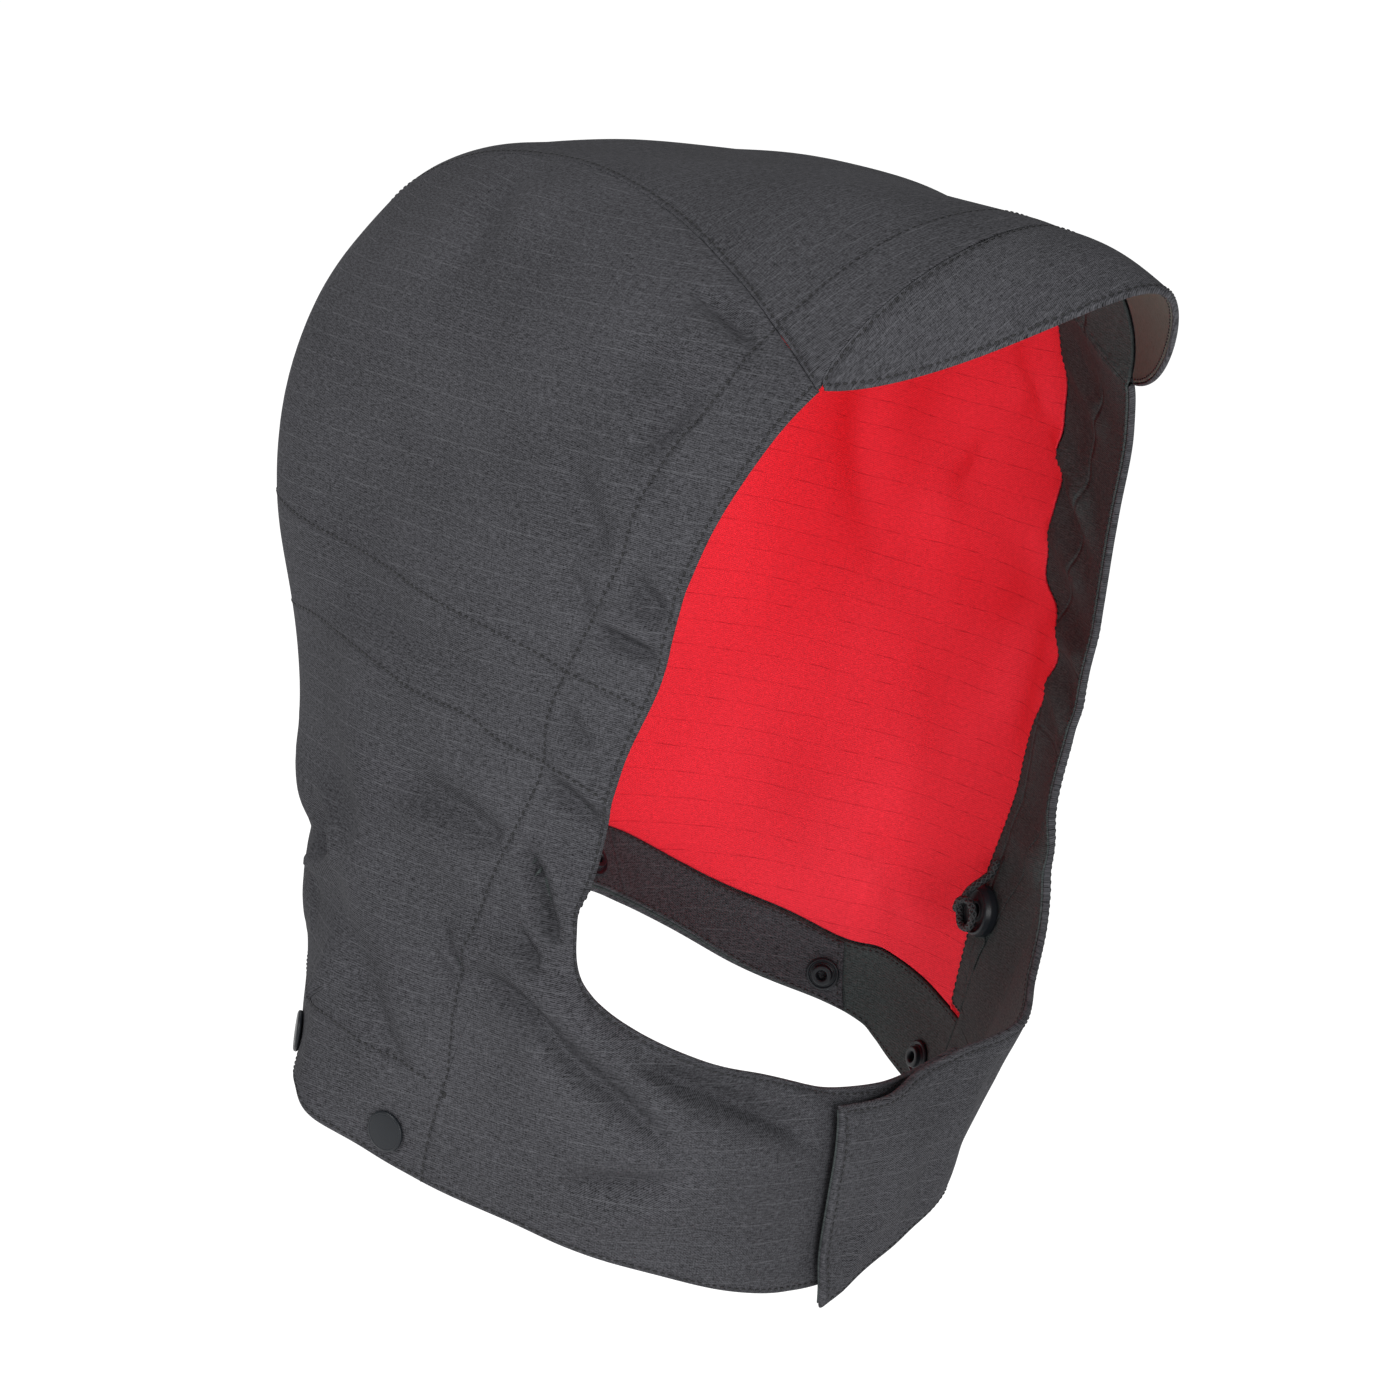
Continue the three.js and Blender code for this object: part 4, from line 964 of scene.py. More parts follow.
def braided(name, colour):
    """Braided elastic cord: crossing yarns at about a millimetre, on the cord's length and turn,
    with painted highlight on the raised yarns and painted shade between them.
    """
    material, tree, shader = new_material(name)
    along, turn, _ = parted(tree, weave_place(tree))
    along = maths(tree, "MULTIPLY", along, 2 * math.pi * 1000 / YARN_PITCH)
    turn = maths(tree, "MULTIPLY", turn, 2 * math.pi * YARNS)
    one = maths(tree, "SINE", maths(tree, "ADD", along, turn))
    two = maths(tree, "SINE", maths(tree, "SUBTRACT", along, turn))
    yarn = maths(tree, "MAXIMUM", one, two)
    base = linear(colour)
    # Painted highlight and shade: the colour follows the yarns' height, up to 2.4 times lighter on
    # their crests
    tone = mixed(tree, ramp(tree, yarn, -0.2, 1.0), base, toned(base, 2.4))
    normal = bumped(tree, yarn, 0.0003)
    set_inputs(tree, shader, {"Base Color": tone, "Roughness": 0.6, "Normal": normal})
    return material


def napped(name, colour):
    """Hook and loop tape: short stiff pile seen as rows of tiny raised points, each with a painted
    highlight.
    """
    material, tree, shader = new_material(name)
    inputs = {"Vector": object_place(tree), "Scale": 700.0}
    pile = node(tree, "ShaderNodeTexVoronoi", inputs).outputs[0]
    base = linear(colour)
    # Painted highlight: the colour is up to 1.8 times lighter at each raised point of the pile
    tone = mixed(tree, pile, toned(base, 1.8), base)
    normal = bumped(tree, pile, 0.0006, invert=True)
    set_inputs(tree, shader, {"Base Color": tone, "Roughness": 0.9, "Normal": normal})
    return material


# Each material's maker and values. Woven ones: colour, rib colour, rib pitch, rib share, thread
# pitch, heather
MAKERS = {
    # Charcoal cotton and polyester ripstop, piece dyed: dull, slightly mottled, lines 7 mm apart
    "ripstop_charcoal": (woven, 0x363639, 0x7A7B7F, 7.0, 0.2, 1.1, 1.55),
    # Red polyester ripstop: clean colour, ribs 9.1 mm apart as fine darker lines, clear twill
    "ripstop_red": (woven, 0xEE3341, 0x8E1220, 9.1, 0.4, 1.3, 0.35, False),
    # Facing cloth, the shell's cloth from its inner side: more matt. Its grey is tinted towards
    # cyan, a painted correction against the red light that the lining throws on it
    "facing_cloth": (woven, 0x373C3C, 0x5A5A58, 7.0, 0.15, 1.1, 1.0),
    # Plain grey cloth under the peak
    "peak_lining_cloth": (woven, 0x56554F, 0x6A6662, 7.0, 0.2, 1.1, 0.4, False),
    # Near-black moulded nylon of the snaps and the lock: a soft satin glow at the rims
    "moulded_nylon": (moulded, 0x14171B, 0.42),
    # Black polyester sewing thread, darker than the cloth
    "spun_thread": (spun, 0x0D0D0F),
    # Black elastic cord under a braided cover
    "braided_elastic": (braided, 0x17181A),
    # Dark nylon hook and loop, matt as its pile scatters the light
    "hook_and_loop": (napped, 0x202023),
}
MATERIALS = {}


def material(name):
    """The material of that name, made the first time that it is asked for."""
    if name not in MATERIALS:
        maker, *values = MAKERS[name]
        MATERIALS[name] = maker(name, *values)
    return MATERIALS[name]


# Properties that a user would change
class HoodSizes(bpy.types.PropertyGroup):
    """Sizes of the sewing and of the mesh."""

    stitch_pitch: bpy.props.FloatProperty(
        name="Stitch pitch",
        description="Length of one stitch and its gap",
        default=0.0027,
        unit="LENGTH",
    )
    stitch_length: bpy.props.FloatProperty(
        name="Stitch length",
        description="Length of the thread that shows",
        default=0.0017,
        unit="LENGTH",
    )
    stitch_width: bpy.props.FloatProperty(
        name="Stitch width",
        description="Width of the thread",
        default=0.0007,
        unit="LENGTH",
    )
    edge_stitch: bpy.props.FloatProperty(
        name="Edge stitching",
        description="How far in from the edges the stitching runs",
        default=0.0022,
        unit="LENGTH",
    )
    edge_roll: bpy.props.FloatProperty(
        name="Edge thickness",
        description="Thickness of the turned edges",
        default=0.003,
        unit="LENGTH",
    )


class HoodStage(bpy.types.PropertyGroup):
    """Floor and light."""

    floor_drop: bpy.props.FloatProperty(
        name="Floor drop",
        description="Floor below the lowest point of the hood",
        default=0.14,
        unit="LENGTH",
    )
    light_power: bpy.props.FloatProperty(
        name="Key light",
        description="Power of the key light",
        default=34.0,
        unit="POWER",
    )


def sizes():
    """Sizes of the sewing, as the user left them."""
    return bpy.context.scene.hood_sizes


# Camera at the photograph's viewing angle. Place, turn, height and roll in the cloth's own frame
CAMERA_PLACE = (-1184.2, -1264.4, 497.3)
CAMERA_TURN = -42.96
CAMERA_HEIGHT = 11.75
CAMERA_ROLL = 6.82
CAMERA_LENS = 135.57
CAMERA_SENSOR = 36.0


class HOOD_OT_camera(bpy.types.Operator):
    """Sets the camera at the photograph's viewing angle"""

    bl_idname = "hood.camera"
    bl_label = "Camera"

    def execute(self, context):
        turn, height, roll = (math.radians(x) for x in (CAMERA_TURN, CAMERA_HEIGHT, CAMERA_ROLL))
        level = Vector((math.cos(turn), math.sin(turn), 0))
        forward = Vector((-math.sin(turn), math.cos(turn), 0))
        ahead = math.cos(height) * forward - Vector((0, 0, math.sin(height)))
        upright = level.cross(ahead)
        right = math.cos(roll) * level + math.sin(roll) * upright
        up = -math.sin(roll) * level + math.cos(roll) * upright
        data = bpy.data.cameras.new("camera")
        data.lens, data.sensor_width = CAMERA_LENS, CAMERA_SENSOR
        data.clip_start, data.clip_end = 0.05, 60
        camera = add_object("camera", data)
        place = Vector(to_metres(np.array(CAMERA_PLACE)))
        turned = Matrix((right, up, -ahead)).transposed().to_4x4()
        camera.matrix_world = Matrix.Translation(place) @ turned
        context.scene.camera = camera
        return {"FINISHED"}


def travelled(points):
    """Length along a path up to each of its points."""
    return np.concatenate([[0], np.cumsum(length_of(np.diff(points, axis=0)))])


def along_path(places, lengths, values):
    """Values read at places that are counted along a path's length."""
    return np.stack([np.interp(places, lengths, values[:, k]) for k in range(3)], -1)


def frames_along(points):
    """Direction, and two square directions, at each point of a path, carried without twisting."""
    tangent = unit(np.gradient(points, axis=0))
    side = np.empty_like(tangent)
    start = np.cross(tangent[0], [0.0, 0.0, 1.0])
    side[0] = start / np.linalg.norm(start)
    for k in range(1, len(points)):
        moved = side[k - 1] - tangent[k] * np.dot(side[k - 1], tangent[k])
        side[k] = moved / np.linalg.norm(moved)
    return tangent, side, np.cross(tangent, side)


def tube(name, points, radius, around=14):
    """Closed tube: a circle carried along the points, drawn in to a dome at both ends."""
    tangent, side, other = frames_along(points)
    turn = np.linspace(0, 2 * math.pi, around, endpoint=False)
    cosine, sine = np.cos(turn)[None, :, None], np.sin(turn)[None, :, None]
    ring = cosine * side[:, None] + sine * other[:, None]
    dome = np.array([0.05, 0.5, 0.87])
    reach = np.sqrt(1 - dome**2) * radius
    first = points[0] - tangent[0] * reach[:, None]
    last = points[-1] + tangent[-1] * reach[::-1, None]
    centre = np.concatenate([first, points, last])
    rings = np.concatenate([np.repeat(ring[:1], 3, 0), ring, np.repeat(ring[-1:], 3, 0)])
    scale = np.concatenate([dome, np.ones(len(points)), dome[::-1]]) * radius
    vertices = (centre[:, None] + rings * scale[:, None, None]).reshape(-1, 3)
    count = len(centre)
    ids = np.arange(count * around).reshape(count, around)
    after = np.roll(ids, -1, axis=1)
    faces = np.stack([ids[:-1], after[:-1], after[1:], ids[1:]], -1).reshape(-1, 4)
    tips = [np.full(around, len(vertices) + k) for k in (0, 1)]
    domes = np.stack([after[0], ids[0], tips[0]], -1), np.stack([ids[-1], after[-1], tips[1]], -1)
    mesh = bpy.data.meshes.new(name)
    vertices = np.concatenate([vertices, centre[[0, -1]]])
    mesh.from_pydata(vertices.tolist(), [], faces.tolist() + np.concatenate(domes).tolist())
    mesh.polygons.foreach_set("use_smooth", np.ones(len(mesh.polygons), bool))
    mesh.validate()
    piece = add_object(name, mesh)
    lengths = travelled(centre)
    places = np.stack([np.repeat(lengths, around), np.tile(turn / (2 * math.pi), count)], -1)
    set_uv(piece, np.concatenate([places, [[0, 0], [lengths[-1], 0]]]))
    return piece


def smooth_path(points, count):
    """Points evenly along the cubic through the given ones, by length."""
    share = np.linspace(0, 1, len(points))
    fine = Curve(np.column_stack([share, points]))(np.linspace(0, 1, count * 8))
    lengths = travelled(fine)
    return along_path(np.linspace(0, lengths[-1], count), lengths, fine)


LOCK_RADIUS = 9.3
LOCK_HEIGHT = 5.0
CORD_RADIUS = 1.4
CORD_GAP = 0.4
CORD_LIFT = LOCK_HEIGHT + LOCK_CLEARANCE + CORD_RADIUS + CORD_GAP


def lock_axes():
    """Middle of the lock's seat, and its inward, up and across directions, as in the source."""
    point, normal = cloth_spot("left", *LOCK_PLACE)
    slit_point, slit_normal = cloth_spot("left", *SLIT_PLACE)
    inside = point - normal * LINING_FOOT
    to_slit = slit_point - slit_normal * LINING_FOOT - inside
    inward = -normal
    up = unit(to_slit)
    up = unit(up - inward * np.dot(up, inward))
    return inside, inward, up, np.cross(up, inward), np.dot(to_slit, up)


class HOOD_OT_drawcord(bpy.types.Operator):
    """Makes the elastic cord of the adjuster, from its slit to its knot"""

    bl_idname = "hood.drawcord"
    bl_label = "Drawcord"

    def execute(self, context):
        inside, inward, up, across, rise = lock_axes()
        # Columns: across, up from the lock's middle, off the facing
        route = [
            (0.5, rise - 1, CORD_RADIUS + CORD_GAP + 0.6),
            (0.3, rise - 5, CORD_RADIUS + CORD_GAP + 1.2),
            (0, LOCK_RADIUS + 3.5, CORD_LIFT - 3),
            (-1, LOCK_RADIUS - 1, CORD_LIFT + 0.4),
            (-4, 3.5, CORD_LIFT),
            (-4.8, -2, CORD_LIFT),
            (-1.5, -6.5, CORD_LIFT),
            (3.6, -5, CORD_LIFT),
            (5, 0.5, CORD_LIFT + 0.6),
            (2.2, 4.2, CORD_LIFT + 1.6),
            (-1.2, 3.4, CORD_LIFT + 3.2),
            (-2.2, -0.6, CORD_LIFT + 3.4),
        ]
        points = np.array([inside + across * a + up * b + inward * c for a, b, c in route])
        path = smooth_path(to_metres(points), 60)
        piece = tube("cord", path, CORD_RADIUS / 1000)
        finish_piece(piece, "braided_elastic", "drawcord")
        return {"FINISHED"}


def whole(value):
    """A line at one share of the way down, for every place around."""
    return lambda around: np.full(np.shape(around), float(value))

    return lambda around: np.full(np.shape(around), float(value))


def face_top(side):
    """The upper edge of one side: the face edge, which falls towards the corner of the flap.

    The fall is the second half of a smooth step, twice, so that it is whole at the flap's end.
    """
    drop = CORNER_DROP if side == "left" else 0.0
    low = 2 * FLAP_TOP - CORNER_END
    return lambda around: 2 * drop * (1 - smooth_step(around, low, CORNER_END))


BAND_GAP = 0.004  # share of the way down


def facing_foot(around):
    """The facing's lower edge, which stops just short of the neck band."""
    place = np.clip(folded(around), FACING_TURN, MIDDLE)
    return np.minimum(facing_edge(place), band_line(place) - BAND_GAP)[..., 0]


def band_top(around):
    """The neck band's upper edge."""
    return band_line(np.clip(folded(around), FACING_TURN, MIDDLE))[..., 0]


def counts(*numbers):
    """Columns and rows of a grid."""
    return [number // 1 for number in numbers]


SIDE_ENDS = {"right": (HIDDEN_CHIN, HIDDEN_CHIN), "left": (FLAP_TOP, FLAP_TIP)}
# Gaps between two pieces of cloth, in places around: millimetres over those of one unit
PANEL_GAP = 0.03 / 450
FACING_GAP = 0.1 / 450
# Insets, in millimetres, that keep inner layers inside the turned edges
FACING_INSET = 1.25
LINING_INSET = 0.05
BAND_INSET = 0.6
STRIP_INSET = 1.2
# Radii, in millimetres, of the edges
SHELL_EDGE = 0.6
INNER_EDGE = 0.5


class HOOD_OT_shell(bpy.types.Operator):
    """Makes the outer cloth: two side panels with their chin ends, and the centre panel"""

    bl_idname = "hood.shell"
    bl_label = "Outer cloth"

    def execute(self, context):
        layer, roll = (0, SHELL_WALL), sizes().edge_roll * 1000
        for side, (start, _) in SIDE_ENDS.items():
            bounds = start, CROWN_SEAM - PANEL_GAP, face_top(side), whole(1)
            finish = "ripstop_charcoal", f"side_panel_{side}"
            free = "start", "top", "foot"
            shape = bounds, counts(226, 150), layer, SHELL_EDGE, finish
            cloth_piece(f"shell_{side}", side, *shape, free=free, roll=roll)
        start = CROWN_SEAM + PANEL_GAP
        bounds = start, opposite(start), whole(0), whole(1)
        shape = bounds, counts(56, 170), layer, SHELL_EDGE, ("ripstop_charcoal", "centre_panel")
        cloth_piece("shell_centre", "whole", *shape, free=("foot",), roll=roll)
        return {"FINISHED"}


class HOOD_OT_facing(bpy.types.Operator):
    """Makes the facing inside the face opening and the chin"""

    bl_idname = "hood.facing"
    bl_label = "Facing"

    def execute(self, context):
        layer = LINING_TOP, FACING_FOOT
        for side, (start, _) in SIDE_ENDS.items():
            finish = "facing_cloth", f"facing_{side}"
            end = layer, INNER_EDGE, finish, FACING_INSET
            chin = start, FACING_TURN, face_top(side), whole(1)
            cloth_piece(f"facing_chin_{side}", side, chin, counts(90, 40), *end)
            strip = FACING_TURN + FACING_GAP, CROWN_SEAM - FACING_GAP, whole(0), facing_foot
            cloth_piece(f"facing_edge_{side}", side, strip, counts(130, 18), *end)
        brow = CROWN_SEAM, opposite(CROWN_SEAM), whole(0), facing_foot
        end = layer, INNER_EDGE, ("facing_cloth", "facing_top"), FACING_INSET
        cloth_piece("facing_over_brow", "whole", brow, counts(40, 8), *end)
        return {"FINISHED"}


class HOOD_OT_lining(bpy.types.Operator):
    """Makes the red lining"""

    bl_idname = "hood.lining"
    bl_label = "Lining"

    def execute(self, context):
        bounds = FACING_TURN, opposite(FACING_TURN), facing_foot, band_top
        shape = bounds, counts(262, 100), (LINING_TOP, LINING_FOOT), 0.4
        cloth_piece("lining_cloth", "whole", *shape, ("ripstop_red", "lining"), LINING_INSET)
        return {"FINISHED"}


class HOOD_OT_neck_band(bpy.types.Operator):
    """Makes the neck facing and the strip that carries the rear snaps"""

    bl_idname = "hood.neck_band"
    bl_label = "Neck band"

    def execute(self, context):
        band = FACING_TURN, opposite(FACING_TURN), band_top, whole(1)
        shape = band, counts(240, 22), (LINING_TOP, FACING_FOOT), INNER_EDGE
        cloth_piece("neck_band", "whole", *shape, ("facing_cloth", "neck_facing"), BAND_INSET)
        strip = STRIP_END, opposite(STRIP_END), band_top, whole(1)
        shape = strip, counts(160, 20), (STRIP_TOP, STRIP_FOOT), INNER_EDGE
        cloth_piece("strip_cloth", "whole", *shape, ("ripstop_charcoal", "snap_strip"), STRIP_INSET)
        return {"FINISHED"}


def peak_place(turn, share):
    """Point between the peak's seam and edge, with the bow added upwards: sine by sine."""
    seam, edge = peak_seam(turn), peak_edge(turn)
    seam[..., 0] *= -1
    edge[..., 0] *= -1
    start = PEAK_SEAM_GAP / np.maximum(np.linalg.norm(edge - seam, axis=-1), PEAK_SEAM_GAP * 2)
    share = start + (1 - start) * share
    point = seam + (edge - seam) * share[..., None]
    point[..., 2] += PEAK_CROWNING * np.sin(math.pi * share) * np.sin(turn)
    return point


def peak_surface(turn, share):
    """Point and upward direction of the peak's upper face, and its speeds."""
    along, across = steps(peak_place, turn, share)
    normal = unit(np.cross(across, along))
    return peak_place(turn, share), normal, along / (2 * STEP), across / (2 * STEP)


PEAK_DEPTH = 60.0  # millimetres from seam to edge, for the close rows beside the edge
PEAK_NARROWEST = 6.0
PEAK_STITCH_IN = 2.0


class HOOD_OT_peak(bpy.types.Operator):
    """Makes the stiffened peak: its upper cloth turned over the edge, and the cloth under it"""

    bl_idname = "hood.peak"
    bl_label = "Peak"

    def execute(self, context):
        # Columns: name, finish, top, foot and roll depths, first share, inset from the edge
        for name, finish, top, foot, roll, start, inset in (
            ("peak_top", ("ripstop_charcoal", "peak"), 0.0, 1.3, 2.6, 0.0, 0.0),
            ("peak_under", ("peak_lining_cloth", "peak_underside"), 1.6, 2.6, 0.0, 0.06, 1.25),
        ):
            columns, rows = counts(150, 44)
            turns = np.linspace(PEAK_TUCK, math.pi - PEAK_TUCK, columns)
            middle = np.linspace(start, 1, rows)
            near = 1 - EDGE_STEPS[::-1] / PEAK_DEPTH
            shares = np.concatenate([middle[middle < near[0] - 0.01], near])
            turn, share = np.meshgrid(turns, shares, indexing="ij")
            point, normal, along, across = peak_surface(turn, share)
            if inset:
                deepest = 1 - inset / np.maximum(length_of(across), PEAK_NARROWEST)
                share = np.minimum(share, deepest)
                point, normal, along, across = peak_surface(turn, share)
            to_edge = np.maximum((1 - share) * length_of(across) - inset, 0)
            to_seam = (share - shares[0]) * length_of(across)
            to_end = np.minimum(turn - turns[0], turns[-1] - turn) * length_of(along)
            deep = foot + max(roll - foot, 0) * (1 - smooth_step(to_edge, *ROLL_EDGE))
            rim = rounding(to_edge, max(roll / 2, INNER_EDGE))
            rim = np.minimum(rim, rounding(np.minimum(to_seam, to_end), SHELL_EDGE))
            piece = layer_mesh(name, point, normal, 0, top, deep, rim)
            flat = np.stack([point[..., 0], share * length_of(across)], -1) / 1000
            far = np.full(turn.shape, FAR)
            first = np.stack([far, far, to_seam - PEAK_STITCH_IN], -1)
            set_weave(piece, flat, first, np.stack([to_edge + 0.2, far, far], -1))
            finish_piece(piece, *finish)
        return {"FINISHED"}


TAPE_TOP = 0.1875  # share of the way down


class HOOD_OT_tape(bpy.types.Operator):
    """Makes the hook and loop tape between the chin ends"""

    bl_idname = "hood.tape"
    bl_label = "Hook and loop"

    def execute(self, context):
        # Columns: name, side, start, end, foot, depths, solid
        for name, side, start, end, foot, layer, solid in (
            ("loop_tape", "right", HIDDEN_CHIN + 0.012, -0.004, 0.8, (-1.3, -0.3), "loop_patch"),
            ("hook_tape", "left", 0.002, 0.046, 0.75, (3.5, 4.5), "hook_patch"),
        ):
            bounds = start, end, whole(TAPE_TOP), whole(foot)
            cloth_piece(name, side, bounds, (20, 24), layer, 0.45, ("hook_and_loop", solid))
        return {"FINISHED"}


def turned_mesh(name, profile, centre, axis, sides):
    """A profile of (radius, height) turned about an axis; points on the axis are single."""
    axis = unit(np.asarray(axis))
    helper = np.array([0.0, 0.0, 1.0]) if abs(axis[2]) < 0.9 else np.array([1.0, 0.0, 0.0])
    first = unit(np.cross(axis, helper))
    second = np.cross(axis, first)
    turn = np.linspace(0, 2 * math.pi, sides, endpoint=False)
    ring = np.cos(turn)[:, None] * first + np.sin(turn)[:, None] * second
    profile = np.array(profile, float)
    vertices = centre + ring[None] * profile[:, None, None, 0] + axis * profile[:, None, None, 1]
    ids = np.arange(len(profile) * sides).reshape(len(profile), sides)
    after = np.roll(ids, -1, axis=1)
    grid = [ids, after, np.roll(after, -1, axis=0), np.roll(ids, -1, axis=0)]
    rows = slice(None) if profile[0, 0] > 0 else slice(0, len(profile) - 1)
    faces = np.stack([part[rows] for part in grid], -1).reshape(-1, 4)
    mesh = bpy.data.meshes.new(name)
    mesh.from_pydata(to_metres(vertices.reshape(-1, 3)).tolist(), [], faces.tolist())
    work = bmesh.new()
    work.from_mesh(mesh)
    bmesh.ops.remove_doubles(work, verts=work.verts, dist=1e-7)
    bmesh.ops.recalc_face_normals(work, faces=work.faces)
    work.to_mesh(mesh)
    work.free()
    mesh.polygons.foreach_set("use_smooth", np.ones(len(mesh.polygons), bool))
    return add_object(name, mesh)


def rounded(profile, radius=0.18, steps=3):
    """The profile with every corner off the axis replaced by a short arc."""
    points = np.array(profile, float)
    count = len(points)
    closed = points[0, 0] > 0
    made = []
    for k in range(count):
        if not closed and k in (0, count - 1):
            made.append(points[k])
            continue
        before, at, after = points[k - 1], points[k], points[(k + 1) % count]
        one, two = before - at, after - at
        size = min(radius, np.linalg.norm(one) / 2.2, np.linalg.norm(two) / 2.2)
        start, end = at + unit(one) * size, at + unit(two) * size
        for share in np.linspace(0, 1, steps):
            made.append((1 - share) ** 2 * start + 2 * share * (1 - share) * at + share**2 * end)
    return made


CAP_PROFILE = [
    (0, 0), (6.6, 0), (7.0, 0.55), (6.85, 1.25), (6.2, 1.6), (5.95, 1.42), (5.7, 1.55),
    (0, 1.8),
]
SOCKET_PROFILE = [
    (1.8, 0.0), (6.0, 0.0), (6.0, 0.9), (5.6, 1.25), (5.2, 1.25), (4.9, 0.85), (4.5, 0.85),
    (4.2, 1.3), (3.75, 1.4), (3.72, 2.9), (3.4, 3.2), (2.3, 3.2), (1.9, 2.8), (1.8, 2.2),
]
CAP_RISE = 0.15
SOCKET_RISE = 0.45
STRIP_RISE = 0.55


class HOOD_OT_snaps(bpy.types.Operator):
    """Makes the snap caps outside and the sockets inside, three pairs"""

    bl_idname = "hood.snaps"
    bl_label = "Snaps"

    def execute(self, context):
        number = 0
        for around, down, on_strip in SNAPS:
            for side in ("right", "left"):
                number += 1
                point, out = cloth_spot(side, around, down)
                depth = STRIP_FOOT + STRIP_RISE if on_strip else LINING_FOOT + SOCKET_RISE
                for kind, profile, seat, axis in (
                    ("cap", CAP_PROFILE, point + out * CAP_RISE, out),
                    ("socket", SOCKET_PROFILE, point - out * depth, -out),
                ):
                    made = turned_mesh(f"{kind}_{number}", rounded(profile), seat, axis, 56)
                    finish_piece(made, "moulded_nylon", f"snap_{kind}_{number}")
        return {"FINISHED"}


LOCK_PROFILE = [
    (2.6, 0.0), (9.0, 0.0), (9.3, 0.4), (9.3, 2.9), (8.6, 4.6), (8.1, 5.0), (7.6, 4.9),
    (7.2, 4.2), (6.9, 3.6), (4.0, 3.4), (3.4, 4.0), (2.8, 3.9), (2.6, 3.5),
]

# Cloth tab under the lock. Places around and down
TAB_START, TAB_END = 0.398, 0.434
TAB_TOP, TAB_LOW = 0.49, 0.575


class HOOD_OT_cord_lock(bpy.types.Operator):
    """Makes the cord lock and the small cloth tab under it"""

    bl_idname = "hood.cord_lock"
    bl_label = "Cord lock"

    def execute(self, context):
        inside, inward, *_ = lock_axes()
        seat = inside + inward * LOCK_CLEARANCE
        piece = turned_mesh("adjuster", rounded(LOCK_PROFILE, 0.3, 4), seat, inward, 72)
        finish_piece(piece, "moulded_nylon", "cord_lock")
        bounds = TAB_START, TAB_END, whole(TAB_TOP), whole(TAB_LOW)
        layer = LINING_FOOT + 0.35, LINING_FOOT + LOCK_CLEARANCE - 0.05
        cloth_piece("lock_tab", "left", bounds, (10, 10), layer, 0.2, ("facing_cloth",))
        return {"FINISHED"}


def stitch_template(width, length, height):
    """A flattened grain shape: rings of six points, drawn to a point at both ends."""
    turn = np.linspace(0, 2 * math.pi, 6, endpoint=False)
    along = np.array([-0.36, -0.12, 0.12, 0.36]) * length
    size = np.array([0.75, 1.0, 1.0, 0.75])
    ring = np.stack(
        [
            np.repeat(along, 6),
            (size[:, None] * np.cos(turn)).ravel() * width / 2,
            (size[:, None] * np.sin(turn)).ravel() * height / 2,
        ],
        -1,
    )
    tips = np.array([[-length / 2, 0, -height * 0.3], [length / 2, 0, -height * 0.3]])
    vertices = np.concatenate([ring, tips])
    ids = np.arange(24).reshape(4, 6)
    after = np.roll(ids, -1, axis=1)
    quads = np.stack([ids[:-1], after[:-1], after[1:], ids[1:]], -1).reshape(-1, 4)
    start = np.stack([after[0], ids[0], np.full(6, 24)], -1)
    end = np.stack([ids[-1], after[-1], np.full(6, 25)], -1)
    return vertices, np.concatenate([quads[:, [0, 1, 2]], quads[:, [0, 2, 3]], start, end])


def resample(points, normals, pitch):
    """Points, directions along and directions out at an even pitch along a line."""
    lengths = travelled(points)
    count = max(int(lengths[-1] / pitch), 1)
    even = (np.arange(count) + 0.5) * lengths[-1] / count
    behind, spot, ahead = (
        along_path(even + shift, lengths, points) for shift in (-pitch / 3, 0, pitch / 3)
    )
    out = unit(along_path(even, lengths, normals))
    along = ahead - behind
    return spot, unit(along - out * (along * out).sum(-1, keepdims=True)), out


def stitches(name, lines, slot):
    """One piece of many stitches laid along lines of (points, outward directions)."""
    own = sizes()
    pitch, length, width = (
        size * 1000 for size in (own.stitch_pitch, own.stitch_length, own.stitch_width)
    )
    template, faces = stitch_template(width, length, width * THREAD_FLATNESS)
    vertices, corners, start = [], [], 0
    for points, normals in lines:
        spot, along, out = resample(points, normals, pitch)
        axes = np.stack([along, np.cross(out, along), out], 1)
        vertices.append((spot[:, None] + template @ axes).reshape(-1, 3))
        firsts = start + np.arange(len(spot)) * len(template)
        corners.append((faces + firsts[:, None, None]).reshape(-1, 3))
        start += len(spot) * len(template)
    piece = new_mesh(name, to_metres(np.concatenate(vertices)), np.concatenate(corners))
    return finish_piece(piece, "spun_thread", slot=slot)


LINE_SAMPLES = 400
THREAD_RISE = 0.1
THREAD_FLATNESS = 0.55
TACK_LENGTH = 5.2
TACK_BACK = 0.004  # a bartack sits this far round from the facing's turn
LINE_START = 0.006  # rows of stitching start this far round from an end
FACING_STITCH_IN = 1.8
PEAK_UNDERSIDE = 2.75


def cloth_line(side, around, down, depth):
    """Points of a sewn line just proud of the cloth: outside at depth 0, else inside."""
    points, normals = surface(side, around, down, depth)
    out = normals * (-1.0 if depth else 1.0)
    return points + out * THREAD_RISE, out


def bartack(side, around, down, upright, depth):
    """Three short rows close together, where the strain on the cloth is greatest."""
    along, across = (length_of(v) for v in speeds(side, around, down))
    share = np.linspace(-0.5, 0.5, 8) * TACK_LENGTH
    rows = []
    for aside in (-0.6, 0.0, 0.6):
        shift = np.full(len(share), aside)
        first, second = (shift, share) if upright else (share, shift)
        rows.append(cloth_line(side, around + first / along, down + second / across, depth))
    return rows


def edge_line(side, start, end, at_top, depth, in_from):
    """Line a fixed distance in from the face edge or the hem."""
    around = np.linspace(start, end, LINE_SAMPLES)
    edge = face_top(side)(around) if at_top else np.ones(LINE_SAMPLES)
    inset = in_from / pace(side, around, edge, 1)
    return cloth_line(side, around, edge + inset if at_top else edge - inset, depth)


